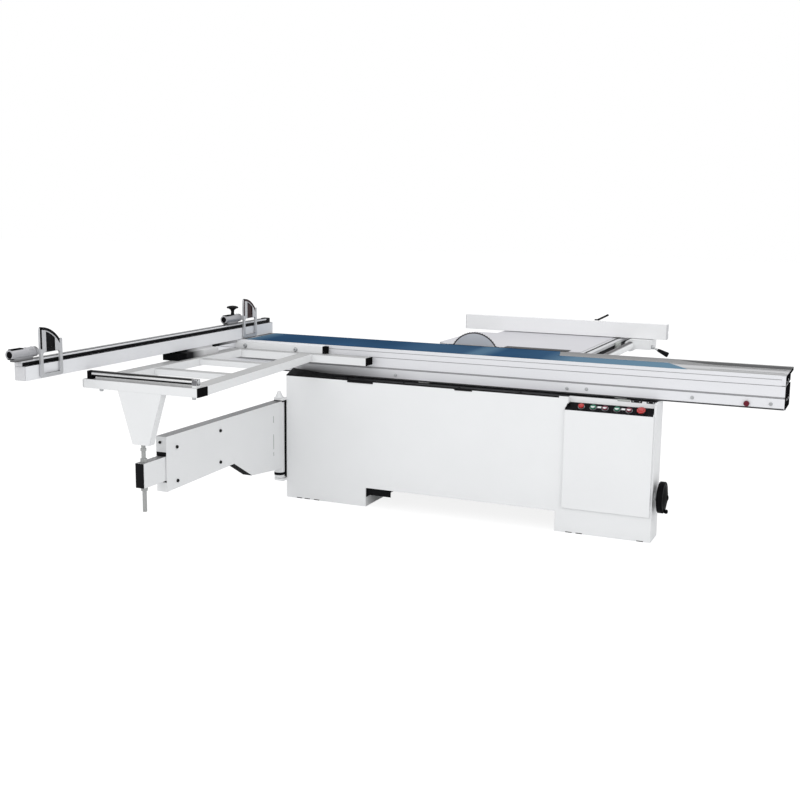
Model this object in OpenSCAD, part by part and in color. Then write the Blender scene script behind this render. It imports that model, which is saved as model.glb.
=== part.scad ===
// Sliding table saw: a sheet-steel cabinet carries an aluminium beam, a rolling table with an
// outrigger frame and crosscut fence, a cast main table, a rip fence and a swinging saw unit.
// +X runs along the sliding table to the operator's end, +Y away from the outrigger, +Z up.
// Places are measured from the table's left end, the beam's near side and the floor, and the
// whole part is then shifted so that its origin is the middle of its footprint.

/* [Sliding table] */
// Length of the sliding table and of the beam under it
table_l = 3200; // [2600:10:3800]
// Width of the sliding table
table_w = 375; // [330:1:420]
// Height of the table top above the floor
table_h = 880; // [850:1:920]
// Height of the rolling table's profile
carriage_h = 47; // [44:1:56]
// Height of the fixed beam's profile
beam_h = 115; // [105:1:125]
// Width of the fixed beam
beam_w = 190; // [175:1:205]
// Width of the rolling table's deep part
saddle_w = 235; // [228:1:250]
// Thickness of the rolling table's overhanging edge
lip_t = 17; // [14:1:20]
// Space between the rolling table and the beam
run_gap = 3; // [2:0.5:5]
// Wall of both aluminium profiles
profile_wall = 4; // [3:0.5:6]
// Thickness of the plastic caps on the rolling table's ends
cap_t = 18; // [8:1:30]
// Radius of the steel guide rods between table and beam
rod_r = 10; // [8:0.5:12]
// Thickness of the blocks that hold the beam off the cabinet
mount_t = 4; // [3:1:8]

/* [Cabinet] */
// Place of the cabinet's left end
cab_x = 525; // [450:5:600]
// Length of the cabinet without the control end
cab_l = 1915; // [1800:5:2100]
// How far the cabinet stands out in front of the beam
cab_proud = 75; // [65:1:90]
// How far the cabinet reaches behind the sliding table
cab_back = 250; // [245:1:330]
// Length of the control end past the cabinet
control_l = 170; // [140:5:200]
// Depth of the control end
control_depth = 156; // [140:1:180]
// Thickness of the cabinet's sheet
sheet_t = 4; // [3:0.5:6]
// Thickness of the black plate on the cabinet
top_t = 8; // [5:0.5:12]
// Length of each foot
foot_l = 500; // [400:5:560]
// Height of the space between the feet
foot_h = 107; // [80:1:130]
// Radius of the floor anchor holes
anchor_r = 8; // [6:0.5:10]
// Outside radius of the dust spigot
spigot_r = 60; // [50:1:70]
// Length of the dust spigot
spigot_l = 60; // [40:1:90]

/* [Controls] */
// Width of the control cover
cover_w = 440; // [400:1:460]
// Bottom edge of the control cover above the floor
cover_z = 132; // [120:1:180]
// How far the control cover stands out of the cabinet
cover_proud = 13; // [8:1:20]
// Rise of the sloping button face
slope_rise = 32; // [26:1:40]
// Run of the sloping button face
slope_run = 46; // [40:1:52]
// Radius of a push button
button_r = 11; // [9:0.5:12]
// Radius of the stop mushroom
estop_r = 16; // [13:0.5:17]
// Spacing of the buttons
button_gap = 61; // [55:1:64]
// Travel of a push button
button_travel = 4; // [2:0.5:5]

/* [Outrigger] */
// Place of the frame's left side
frame_x = 165; // [120:5:220]
// Width of the frame
frame_w = 635; // [600:5:700]
// Reach of the frame in front of the beam
frame_reach = 1385; // [1330:5:1450]
// Height of the frame's flat tubes
tube_h = 42; // [36:1:48]
// Width of the frame's flat tubes
tube_w = 80; // [60:1:90]
// How much narrower the frame is at the rolling table
frame_skew = 105; // [0:5:130]
// Wall of the frame's tubes
tube_wall = 3; // [2:0.5:4]
// Length of the rail beside the rolling table
inner_l = 862; // [800:2:1000]
// Height of the bar that clamps the frame to the rolling table
bar_h = 40; // [34:1:44]
// Thickness of that bar
bar_t = 32; // [24:1:36]
// Number of cross slats in the frame
slat_n = 2; // [1:1:4]
// Width of a cross slat
slat_w = 55; // [40:1:80]

/* [Support arm] */
// Place of the arm's hinge and of the support rod along the table
arm_x = 485; // [484:1:490]
// How far the hinge stands in front of the beam
hinge_out = 88; // [80:1:100]
// Radius of the hinge pin
pin_r = 15; // [12:0.5:18]
// Radius of the arm's hinge barrel
barrel_r = 29; // [26:1:30]
// Thickness of the arm
arm_t = 58; // [56:1:60]
// How far the arm stops short of the support rod
arm_short = 140; // [130:1:180]
// Bottom of the arm's outer part above the floor
arm_z = 290; // [280:1:300]
// Height of the arm
arm_h = 270; // [255:1:280]
// Width of the telescope tube
tele_w = 45; // [40:1:46]
// Height of the telescope tube
tele_h = 118; // [100:1:124]
// Radius of the support rod
support_r = 10; // [8:0.5:12]

/* [Crosscut fence] */
// Place of the fence's working face along the table
fence_x = 179; // [160:1:220]
// Thickness of the fence
fence_t = 59; // [54:1:70]
// Height of the fence's working face
fence_h = 64; // [56:1:76]
// Height of the slotted rail on top of the fence
fence_rail_h = 24; // [20:1:30]
// How far the fence reaches in front of the beam
fence_out = 1785; // [1700:5:1950]
// How far the fence stops short of the rolling table's far edge
fence_short = 2; // [0:1:20]
// Clearance between the fence and the table top
fence_gap = 2; // [1:0.5:4]
// Radius of the fence's pivot pin
pivot_pin_r = 8; // [6:0.5:10]
// Width of a flip stop
flip_w = 146; // [130:1:160]
// Height of a flip stop above its hinge
flip_up = 110; // [95:1:120]
// Radius of a flip stop's hinge barrel
stop_r = 22; // [18:0.5:24]
// Length of a flip stop's hinge barrel
stop_l = 150; // [130:1:170]
// Place of the first stop from the fence's outer end
stop_1_at = 92; // [60:1:300]
// Place of the second stop in front of the beam's near side
stop_2_at = 28; // [20:1:60]

/* [Main table] */
// Place of the main table's left end
main_x = 1240; // [1200:1:1240]
// Length of the main table
main_l = 850; // [840:5:960]
// Gap from the rolling table to the main table
main_gap = 27; // [24:1:34]
// Width of the main table
main_w = 658; // [620:1:700]
// Depth of the main table's rim
main_rim = 60; // [50:1:66]
// Thickness of the main table's plate
main_plate = 25; // [18:1:30]
// Length of the extension table along the sliding table
ext_l = 700; // [650:5:760]
// Width of the extension table
ext_w = 440; // [420:5:520]
// Depth of the extension table's folded edge
ext_rim = 42; // [36:1:50]

/* [Rip fence] */
// Height of the rip fence
rip_h = 90; // [80:1:110]
// Thickness of the rip fence
rip_t = 50; // [44:1:60]
// Length of the rip fence
rip_l = 1266; // [1200:2:1300]
// Distance of the rip fence's face from the blade
rip_at = 778; // [700:1:800]
// Radius of the round guide bar
guide_r = 23; // [20:0.5:25]
// Distance of the guide bar's middle from the tables' edge
guide_out = 115; // [105:1:130]
// Clearance of the carrier on the guide bar
guide_clear = 0.05; // [0.02:0.01:0.09]

/* [Saw unit] */
// Place of the main blade's axle along the table at full height
arbor_x = 1478; // [1460:1:1490]
// Radius of the main blade
blade_r = 150; // [140:1:152]
// Kerf of the main blade
blade_t = 3.2; // [2.6:0.1:3.6]
// Teeth of the main blade
blade_teeth = 60; // [36:1:72]
// Height of the main blade above the table at full height
blade_up = 77; // [65:1:84]
// Gap from the rolling table to the blade's middle plane
blade_gap = 19; // [18:0.5:22]
// Radius of the main arbor
arbor_r = 15; // [13:0.5:16]
// Horizontal distance from the arbor back to the saw unit's pivot
swing_x = 320; // [310:1:330]
// Drop from the arbor to the saw unit's pivot
swing_z = 167; // [160:1:175]
// Radius of the pivot shaft
pivot_r = 25; // [20:1:28]
// Radius of the main motor
motor_r = 100; // [85:1:110]
// Length of the main motor
motor_l = 270; // [230:1:280]
// Radius of the scoring blade
scoring_r = 60; // [50:1:62]
// Kerf of the scoring blade
scoring_t = 3; // [2.6:0.1:3.4]
// Distance from the main arbor to the scoring arbor
scoring_at = 222; // [218:1:230]
// Height of the scoring blade above the table
scoring_up = 2; // [1:0.5:4]

/* [Height adjustment] */
// Radius of the handwheel
wheel_r = 80; // [70:1:90]
// Height of the handwheel above the floor
wheel_z = 228; // [215:1:250]
// Radius of the lift screw
screw_r = 11; // [9:0.5:13]
// Radius of the lift nut's side pins
trunnion_r = 8; // [6:0.5:9]

/* [Hidden] */
$fn = 48;

// General clearances and small sizes
eps = 0.1;
slip = 0.3;
run_fit = 0.05;
pair = [0, 1];

// Places along Y of the saw unit's drive
blade_y = table_w + blade_gap;
housing_y = blade_y + 36;
housing_l = 130;
pulley_y = housing_y + housing_l + 12;
pulley_l = 36;

// Levels of the sliding table
carriage_z = table_h - carriage_h;
beam_top = carriage_z - run_gap;
beam_z = beam_top - beam_h;
rod_z = beam_top + run_gap / 2;
rod_ys = [45, beam_w - 45];
slot_w = 14;
slot_d = 16;
slot_y = saddle_w - 21;
groove_h = 9;
groove_d = 9;

// Cabinet
cab_y = -cab_proud;
cab_depth = cab_proud + table_w + cab_back;
cab_y1 = cab_y + cab_depth;
cab_x1 = cab_x + cab_l;
end_x = cab_x1 + control_l;
end_y1 = cab_y + control_depth;
plate_z = beam_z - mount_t;
shell_h = plate_z - top_t;
foot_x1 = end_x - foot_l;
well_x = arbor_x - 193;
well_l = 735;
well_y = table_w + 3;
well_w = pulley_y + pulley_l + 7 - well_y;
anchor_in = 60;
anchor_dx = cab_l - 2 * anchor_in;
anchor_dy = cab_depth - 2 * anchor_in;
spigot_x = cab_x + 430;
spigot_z = 420;

// Control cover and its buttons
cover_t = 3;
cover_x = end_x - cover_w - 10;
cover_top = plate_z;
slope_z = cover_top - 33 - slope_rise;
recess_low = 6;
recess_y = slope_run - cover_proud + cover_t + slip;
slope_a = atan2(slope_rise, slope_run);
slope_l = norm([slope_rise, slope_run]);
strip_t = 3;
strip_edge = 5;
button_up = 9;
button_down = 8;
button_x0 = cover_x + cover_w / 2 - 2.5 * button_gap;

// Frame
frame_x1 = frame_x + frame_w;
bar_z = table_h - 5 - bar_h;
inner_z = bar_z - tube_h;
inner_y = -12;
rail_z = inner_z + 3;
rail_top_z = rail_z + tube_h;
front_y = -frame_reach;
front_y1 = front_y + tube_w;
side_y1 = inner_y - tube_w;
side_l = side_y1 - front_y1;
slat_h = 30;
roller_r = (table_h - rail_top_z - 12) / 2;
roller_z = table_h - roller_r;
roller_y = front_y + 15 + roller_r / 3;
lug_t = 26;
lug_xs = [frame_x + 20, frame_x1 - lug_t - 4];
bar_short = 71;
roller_pin_r = 6;

// Support arm
hinge_y = -hinge_out;
rod_y = front_y + 20;
rod_reach = hinge_y - rod_y;
arm_end = rod_y + arm_short;
arm_top = arm_z + arm_h;
arm_low = 170;
arm_knee = 531;
arm_knee_up = 14;
arm_heel = 351;
arm_heel_up = 32;
arm_wall = 5;
hinge_plate = 12;
hinge_z0 = 100;
barrel_z = hinge_z0 + hinge_plate + 2;
barrel_top = arm_top + 3;
tele_z = arm_z + 55;
tele_past = 31;
tele_free = 268;
tele_l = rod_reach + tele_past - tele_free;
tele_end = rod_y - tele_past;
tele_wall = 4;
bracket_top_w = 244;
bracket_low_w = 92;
bracket_t = 4;
bracket_z = 548;
bracket_return = 42;
rod_top = bracket_z - 0.5;
rod_low = 225;
nut_h = 18;
nut_r = 17;

// Fence and stops
fence_z = table_h + fence_gap;
fence_back = fence_x - fence_t;
fence_y = -fence_out;
fence_y1 = table_w - fence_short;
fence_l = fence_y1 - fence_y;
fence_top = fence_z + fence_h + fence_rail_h;
fence_rail_w = fence_t - 19;
fence_wall = 3;
pivot_x = fence_x - fence_t / 2;
pivot_y = 60;
stop_x = fence_back + fence_rail_w * 0.75;
stop_z = fence_top + 33;
stop_1_y = fence_y + stop_1_at;
flip_x = fence_x + 3;
flip_t = 10;
flip_down = stop_z - (table_h + 6);
flip_side = 62;
flip_bar = 17;
knob_y = 55;
hub_l = 12;

// Tables and rip guide
main_y = table_w + main_gap;
main_y1 = main_y + main_w;
main_x1 = main_x + main_l;
ext_x = main_x1 - ext_l - 5;
ext_y1 = main_y1 + ext_w;
ext_sheet = 4;
rail_w = 58;
rail_h = 44;
rail_top = table_h - 3;
rail_end_t = 25;
guide_x = main_x1 + guide_out;
guide_z = table_h - 34;
rip_y = blade_y + rip_at;
rip_z = table_h + 4;
rip_x = main_x - 102;
rip_groove_h = 14;
rip_groove_d = 10;
carrier_y = rip_y - 62;
carrier_l = 180;
carrier_r = guide_r + 12;
carrier_reach = 120;
head_reach = 277;
head_t = 60;
head_h = 60;
arm_block_x = guide_x - head_reach;
arm_block_y = rip_y + rip_t + slip;
lever_x = arm_block_x + 32;

// Saw unit
arbor_z = table_h + blade_up - blade_r;
saw_x = arbor_x + swing_x;
saw_z = arbor_z - swing_z;
housing_r = 45;
sleeve_r = pivot_r + 11;
arbor_pulley_r = 38;
motor_pulley_r = 55;
motor_x = arbor_x - 78;
motor_z = arbor_z - 327;
motor_y = pulley_y - 12 - motor_l;
belt_t = 7;
belt_w = 26;
post_t = 18;
post_w = 200;
post_y0 = cab_y + sheet_t + 1;
post_y1 = cab_y1 - sheet_t - 1;
sleeve_y0 = post_y0 + post_t + 0.5;
sleeve_y1 = post_y1 - post_t - 0.5;
wheel_y = -20;
lever_t = 9;
nut_w = 2 * screw_r + 10;
lever_gap = nut_w + 3;
fork_w = 2 * trunnion_r + 4;
scoring_x = arbor_x + scoring_at;
scoring_z = table_h + scoring_up - scoring_r;
scoring_arbor_r = 10;
scoring_house_r = 26;
scoring_house_y = blade_y + 22;
scoring_house_l = 60;
scoring_pulley_r = 20;
scoring_pulley_y = scoring_house_y + scoring_house_l + 4;
scoring_pulley_l = 18;
scoring_motor_x = scoring_x + 252;
scoring_motor_z = table_h - main_rim - 78;
scoring_motor_r = 60;
scoring_motor_l = 100;
scoring_motor_y = scoring_pulley_y + scoring_pulley_l + 8;
scoring_drive_r = 40;
insert_y = table_w + 9;
insert_t = 12;
rim_t = 16;
leg_t = 36;
leg_gap = 5;

// Lift
nut_half = 30;
nut_x = saw_x;
bush_t = 10;
wheel_x = end_x + bush_t + 10;
wheel_t = 34;
screw_x0 = saw_x - 190;
screw_x1 = wheel_x + wheel_t;
handle_r = 11;
handle_l = 34;
wheel_rim = 18;
wheel_dome = 10;
handle_at = wheel_r - wheel_rim / 2;

// Lock button on the beam
lock_x = table_l - 175;
lock_z = beam_z + 22;
lock_r = 11;
lock_out = 10;
lock_in = 5;
lock_travel = 6;

// Middle of the footprint, which is the part's origin
foot_y0 = stop_1_y - hub_l / 2 - stop_l;
mid = [table_l / 2, (foot_y0 + ext_y1) / 2, 0];

module placed() {
    translate(-mid) children();
}

// A flat outline drawn in X and Z, made thick along +Y from the place y
module along_y(y, l) {
    translate([0, y + l, 0]) rotate([90, 0, 0]) linear_extrude(l) children();
}

// A flat outline drawn in Y and Z, made thick along +X from the place x
module along_x(x, l) {
    translate([x, 0, 0]) rotate([90, 0, 90]) linear_extrude(l) children();
}

// Round bars along each axis
module bar_x(p, r, l) {
    translate(p) rotate([0, 90, 0]) cylinder(r = r, h = l);
}
module bar_y(p, r, l) {
    translate(p) rotate([-90, 0, 0]) cylinder(r = r, h = l);
}
module bar_z(p, r, l) {
    translate(p) cylinder(r = r, h = l);
}

// A rectangle with round corners
module round_rect(w, h, r) {
    union() {
        translate([r, 0]) square([w - 2 * r, h]);
        translate([0, r]) square([w, h - 2 * r]);
        for (x = [r, w - r], y = [r, h - r]) translate([x, y]) circle(r);
    }
}

// A tube's cross section
module tube_section(w, h, t) {
    difference() {
        square([w, h]);
        translate([t, t]) square([w - 2 * t, h - 2 * t]);
    }
}

// The cabinet's front outline, drawn in by t from its sheet
module cabinet_front(x1, t) {
    top = t > 0 ? shell_h + eps : shell_h;
    polygon([[cab_x + t, t], [cab_x + foot_l - t, t], [cab_x + foot_l - t, foot_h + t],
             [foot_x1 + t, foot_h + t], [foot_x1 + t, t], [x1 - t, t], [x1 - t, top], [cab_x + t, top]]);
}

module cabinet() {
    color("white") placed() difference() {
        union() {
            along_y(cab_y, cab_depth) cabinet_front(cab_x1, 0);
            translate([cab_x1 - sheet_t, cab_y, 0]) cube([control_l + sheet_t, control_depth, shell_h]);
            bar_y([spigot_x, cab_y1 - sheet_t, spigot_z], spigot_r, spigot_l + sheet_t);
            bar_x([end_x, wheel_y, wheel_z], screw_r + 16, bush_t);
        }
        along_y(cab_y + sheet_t, cab_depth - 2 * sheet_t) cabinet_front(cab_x1, sheet_t);
        translate([cab_x1 - 2 * sheet_t, cab_y + sheet_t, sheet_t])
            cube([control_l + sheet_t, control_depth - 2 * sheet_t, shell_h]);
        bar_y([spigot_x, cab_y1 - 2 * sheet_t, spigot_z], spigot_r - 3, spigot_l + 3 * sheet_t);
        bar_x([end_x - 2 * sheet_t, wheel_y, wheel_z], screw_r + run_fit, bush_t + 3 * sheet_t);
        translate([cover_x, cab_y - eps, slope_z - recess_low])
            cube([cover_w, recess_y + eps, shell_h]);
        for (i = pair, j = pair) bar_z([cab_x + anchor_in + i * anchor_dx,
                                        cab_y + anchor_in + j * anchor_dy, -eps], anchor_r, 2 * sheet_t);
    }
}

module cabinet_top() {
    color("black") placed() difference() {
        union() {
            translate([cab_x, cab_y, shell_h]) cube([cab_l, cab_depth, top_t]);
            translate([cab_x1 - eps, cab_y, shell_h]) cube([control_l + eps, control_depth, top_t]);
        }
        translate([well_x, well_y, shell_h - eps]) cube([well_l, well_w, top_t + 2 * eps]);
        translate([cover_x, cab_y - eps, shell_h - eps]) cube([cover_w, recess_y + eps, top_t + 2 * eps]);
    }
}

// The control cover's bent sheet, seen from its end: front, slope and a short wall up to the top
module cover_sheet() {
    y0 = cab_y - cover_proud;
    back = y0 + slope_run;
    rise = cover_t * tan((90 - slope_a) / 2);
    polygon([[cab_y, cover_z], [y0, cover_z], [y0, slope_z], [back, slope_z + slope_rise], [back, cover_top],
             [back + cover_t, cover_top], [back + cover_t, slope_z + slope_rise - rise],
             [y0 + cover_t, slope_z - rise], [y0 + cover_t, cover_z + cover_t], [cab_y, cover_z + cover_t]]);
}

// The control cover's end wall, which also closes the recess under the slope
module cover_end() {
    y0 = cab_y - cover_proud;
    back = y0 + slope_run;
    polygon([[cab_y, cover_z], [y0, cover_z], [y0, slope_z], [back, slope_z + slope_rise],
             [back, slope_z - recess_low + slip], [cab_y, slope_z - recess_low + slip]]);
}

// Places children on the sloping face, with +Z out of the face
module on_slope(x) {
    translate([x, cab_y - cover_proud + slope_run / 2, slope_z + slope_rise / 2])
        rotate([slope_a, 0, 0]) children();
}

module button_holes(extra) {
    for (i = [0:5]) on_slope(button_x0 + i * button_gap)
        translate([0, 0, -button_down - 10]) cylinder(r = button_r + extra, h = button_down + 20);
}

module control_cover() {
    color("white") placed() difference() {
        union() {
            along_x(cover_x, cover_w) cover_sheet();
            for (x = [cover_x, cover_x + cover_w - cover_t]) along_x(x, cover_t) cover_end();
        }
        button_holes(slip);
    }
}

module button_strip() {
    color("black") placed() difference() {
        on_slope(cover_x + strip_edge) translate([0, -slope_l / 2, 0])
            cube([cover_w - 2 * strip_edge, slope_l, strip_t]);
        button_holes(slip);
    }
}

module push_button(i, tint) {
    color(tint) placed() on_slope(button_x0 + i * button_gap)
        translate([0, 0, -button_down]) cylinder(r = button_r, h = button_down + button_up);
}
module signal_lamp() { push_button(0, "red"); }
module start_button_1() { push_button(1, "green"); }
module stop_button_1() { push_button(2, "darkred"); }
module start_button_2() { push_button(3, "green"); }
module stop_button_2() { push_button(4, "darkred"); }

module emergency_stop() {
    head_z = strip_t + button_travel + 2;
    color("red") placed() on_slope(button_x0 + 5 * button_gap) rotate_extrude()
        polygon([[0, -button_down], [button_r, -button_down], [button_r, head_z],
                 [estop_r, head_z], [estop_r, head_z + 5], [estop_r * 0.7, head_z + 11], [0, head_z + 12]]);
}

// Aluminium profiles of the sliding table
module beam() {
    low = beam_z + profile_wall;
    groove_z = table_h - 106;
    color("silver") placed() difference() {
        along_x(0, table_l) difference() {
            translate([0, beam_z]) square([beam_w, beam_h]);
            translate([groove_d + profile_wall, low])
                square([rod_ys[0] - groove_d - 20 - profile_wall, beam_h - 2 * profile_wall]);
            translate([rod_ys[0] + 20, low])
                square([rod_ys[1] - rod_ys[0] - 40, beam_h - 2 * profile_wall]);
            translate([rod_ys[1] + 20, low])
                square([beam_w - rod_ys[1] - 20 - profile_wall, beam_h - 2 * profile_wall]);
            for (y = rod_ys) translate([y - 14, low]) square([28, beam_h - rod_r - 3 * profile_wall]);
            for (y = rod_ys) translate([y, rod_z]) circle(rod_r + run_fit);
            translate([-eps, groove_z - groove_h / 2]) square([groove_d + eps, groove_h]);
        }
        bar_y([lock_x, -eps, lock_z], lock_r + slip, lock_in + lock_travel + 1);
    }
}

module guide_rods() {
    color("dimgray") placed() for (y = rod_ys) bar_x([0, y, rod_z], rod_r, table_l);
}

// The rolling table's end outline: a deep part on the rods and a thin edge towards the blade
module saddle_outline() {
    translate([0, carriage_z]) square([saddle_w, carriage_h]);
    translate([0, table_h - lip_t]) square([table_w, lip_t]);
}

module carriage() {
    low = carriage_z + profile_wall;
    inner_h = carriage_h - 2 * profile_wall;
    line_d = 3;
    near = profile_wall + line_d;
    color("silver") placed() along_x(cap_t, table_l - 2 * cap_t) difference() {
        saddle_outline();
        translate([near, low]) square([rod_ys[0] - 20 - near, inner_h]);
        translate([rod_ys[0] + 20, low]) square([rod_ys[1] - rod_ys[0] - 40, inner_h]);
        translate([rod_ys[1] + 20, low])
            square([slot_y - slot_w - profile_wall - rod_ys[1] - 20, inner_h]);
        for (y = rod_ys) translate([y - 14, low + rod_r + profile_wall])
            square([28, inner_h - rod_r - profile_wall]);
        for (y = rod_ys) translate([y, rod_z]) circle(rod_r + slip);
        translate([slot_y - slot_w / 2, table_h - slot_d]) square([slot_w, slot_d + eps]);
        translate([slot_y - slot_w, table_h - slot_d]) square([2 * slot_w, slot_d / 2]);
        translate([-eps, table_h - 19]) square([line_d + eps, 3]);
    }
}

// Black plastic on the rolling table and its frame: end caps, the fence's glide pad and one roller block
module carriage_caps() {
    pad_y = -680;
    pad_l = 390;
    pad_z = rail_top_z;
    pad_w = 95;
    pad_step = 32;
    color("black") placed() {
        for (x = [0, table_l - cap_t]) difference() {
            along_x(x, cap_t) saddle_outline();
            for (y = rod_ys) bar_x([x - eps, y, rod_z], rod_r + slip, cap_t + 2 * eps);
        }
        translate([frame_x1, front_y, rail_z]) cube([6, tube_w, tube_h]);
        translate([frame_x + inner_l, side_y1, inner_z]) cube([38, tube_w, tube_h]);
        translate([frame_x1 - bar_short + 2, -bar_t, bar_z]) cube([24, bar_t, bar_h]);
        translate([fence_back, pad_y, pad_z]) cube([pad_w, pad_l, pad_step]);
        translate([fence_back, pad_y, pad_z]) cube([fence_t - 4, pad_l, fence_z - slip - pad_z]);
        roller_lug(lug_xs[0]);
    }
}

module beam_mounts() {
    xs = [cab_x + 90, (cab_x + cab_x1) / 2 - 150, cab_x1 - 30];
    color("darkgray") placed() for (x = xs)
        translate([x - 30, 0, plate_z]) cube([60, x > cab_x1 - 60 ? end_y1 : beam_w, mount_t]);
}

module mounting_bar() {
    color("white") placed() translate([frame_x + 2, -bar_t, bar_z])
        cube([frame_w - bar_short, bar_t, bar_h]);
}

// A block that holds one end of the roller's spindle
module roller_lug(x) {
    difference() {
        translate([x, roller_y - 14, rail_top_z]) cube([lug_t, 28, roller_z + 12 - rail_top_z]);
        bar_x([x - 1, roller_y, roller_z], roller_pin_r + run_fit, lug_t + 2);
    }
}

module frame_front_rail() {
    color("white") placed() {
        translate([0, front_y, rail_z]) along_x(frame_x, frame_w) tube_section(tube_w, tube_h, tube_wall);
        roller_lug(lug_xs[1]);
    }
}

// The right rail's plan, drawn in by a wall's thickness on its long sides
module skew_plan(wall, past) {
    right = frame_x1 - wall;
    left = frame_x1 - tube_w + wall;
    polygon([[left, front_y1 - past], [right, front_y1 - past],
             [right - frame_skew, side_y1 + past], [left - frame_skew, side_y1 + past]]);
}

module frame_left_rail() {
    color("white") placed() translate([frame_x, 0, rail_z])
        along_y(front_y1, side_l) tube_section(tube_w, tube_h, tube_wall);
}

module frame_right_rail() {
    color("white") placed() translate([0, 0, rail_z]) difference() {
        linear_extrude(tube_h) skew_plan(0, 0);
        translate([0, 0, tube_wall]) linear_extrude(tube_h - 2 * tube_wall) skew_plan(tube_wall, eps);
    }
}

module frame_inner_rail() {
    color("white") placed() translate([0, side_y1, inner_z])
        along_x(frame_x, inner_l) tube_section(tube_w, tube_h, tube_wall);
}

module frame_slats() {
    pitch = side_l / (slat_n + 1);
    low = rail_top_z - slat_h - 6;
    color("white") placed() difference() {
        for (i = [1:slat_n])
            translate([0, front_y1 + i * pitch - slat_w / 2, low])
                along_x(frame_x + tube_w, frame_w - 2 * tube_w) tube_section(slat_w, slat_h, tube_wall);
        translate([0, 0, low - 1]) linear_extrude(slat_h + 2) skew_plan(0, 0);
    }
}

module support_bracket() {
    half_top = bracket_top_w / 2;
    half_low = bracket_low_w / 2;
    h = rail_z - bracket_z;
    color("white") placed() difference() {
        along_y(front_y, bracket_return) translate([arm_x, bracket_z])
            polygon([[-half_low, 0], [half_low, 0], [half_top, h], [-half_top, h]]);
        along_y(front_y + bracket_t, bracket_return) translate([arm_x, bracket_z])
            polygon([[-half_low + 2 * bracket_t, 2 * bracket_t], [half_low - 2 * bracket_t, 2 * bracket_t],
                     [half_top - bracket_t, h - bracket_t], [-half_top + bracket_t, h - bracket_t]]);
    }
}

module roller() {
    x0 = lug_xs[0] + lug_t + slip;
    x1 = lug_xs[1] - slip;
    color("silver") placed() {
        bar_x([x0, roller_y, roller_z], roller_r, x1 - x0);
        bar_x([x0 - lug_t, roller_y, roller_z], roller_pin_r, x1 - x0 + 2 * lug_t);
    }
}

// Support arm
module hinge_bracket() {
    top_z = barrel_top + 2;
    color("white") placed() {
        for (z = [hinge_z0, top_z]) {
            translate([arm_x, hinge_y - barrel_r, z]) cube([cab_x - arm_x, 2 * barrel_r, hinge_plate]);
            bar_z([arm_x, hinge_y, z], barrel_r, hinge_plate);
        }
        translate([cab_x - 10, cab_y + 8, hinge_z0]) cube([10, 110, top_z + hinge_plate - hinge_z0]);
        bar_z([arm_x, hinge_y, hinge_z0], pin_r, top_z - hinge_z0 + hinge_plate);
        translate([arm_x, hinge_y, top_z + hinge_plate]) cylinder(r1 = 24, r2 = 8, h = 36);
    }
}

// The arm's side outline, drawn in by t from its sheet
module arm_side(t) {
    end_y = arm_end - (t > 0 ? eps : 0);
    root_y = hinge_y - barrel_r + 8 - 3 * t;
    polygon([[end_y, arm_z + t], [hinge_y - arm_knee, arm_z + arm_knee_up + t],
             [hinge_y - arm_heel, arm_low + arm_heel_up + t], [root_y, arm_low + t],
             [root_y, arm_top - t], [end_y, arm_top - t]]);
}

module support_arm() {
    x0 = arm_x - arm_t / 2 + 1;
    w = arm_t - 2;
    shelf_y = tele_end + tele_l + 20;
    shelf_in = 60;
    over = tele_z + tele_h + 14;
    color("white") placed() difference() {
        union() {
            difference() {
                along_x(arm_x - arm_t / 2, arm_t) arm_side(0);
                along_x(arm_x - arm_t / 2 + arm_wall, arm_t - 2 * arm_wall) arm_side(arm_wall);
            }
            translate([x0, arm_end, tele_z - arm_wall - slip]) cube([w, shelf_y - arm_end, arm_wall]);
            translate([x0, arm_end + shelf_in, tele_z + tele_h + slip])
                cube([w, shelf_y - arm_end - shelf_in, arm_wall]);
            translate([x0, arm_end, arm_z + 1]) cube([w, arm_wall, tele_z - slip - arm_z - 1]);
            translate([x0, arm_end, over]) cube([w, arm_wall, arm_top - over - 1]);
            bar_z([arm_x, hinge_y, barrel_z], barrel_r, barrel_top - barrel_z);
        }
        bar_z([arm_x, hinge_y, barrel_z - eps], pin_r + run_fit, barrel_top);
    }
}

module telescope() {
    color("white") placed() difference() {
        translate([arm_x - tele_w / 2, tele_end, tele_z]) cube([tele_w, tele_l, tele_h]);
        translate([arm_x - tele_w / 2 + tele_wall, tele_end + tele_wall, tele_z + tele_wall])
            cube([tele_w - 2 * tele_wall, tele_l, tele_h - 2 * tele_wall]);
        bar_z([arm_x, rod_y, tele_z - eps], support_r + run_fit, tele_h + 2 * eps);
    }
}

module support_rod() {
    color("gray") placed() {
        bar_z([arm_x, rod_y, rod_low], support_r, rod_top - rod_low);
        for (z = [tele_z - nut_h, tele_z + tele_h])
            translate([arm_x, rod_y, z]) cylinder(r = nut_r, h = nut_h, $fn = 6);
        translate([arm_x, rod_y, rod_top - 30]) cylinder(r = nut_r - 2, h = 12, $fn = 6);
    }
}

// Crosscut fence
module fence_pivot() {
    color("dimgray") placed() {
        bar_z([pivot_x, pivot_y, table_h], 28, fence_gap - slip);
        bar_z([pivot_x, pivot_y, table_h], pivot_pin_r, fence_gap + fence_h / 2);
    }
}

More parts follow.
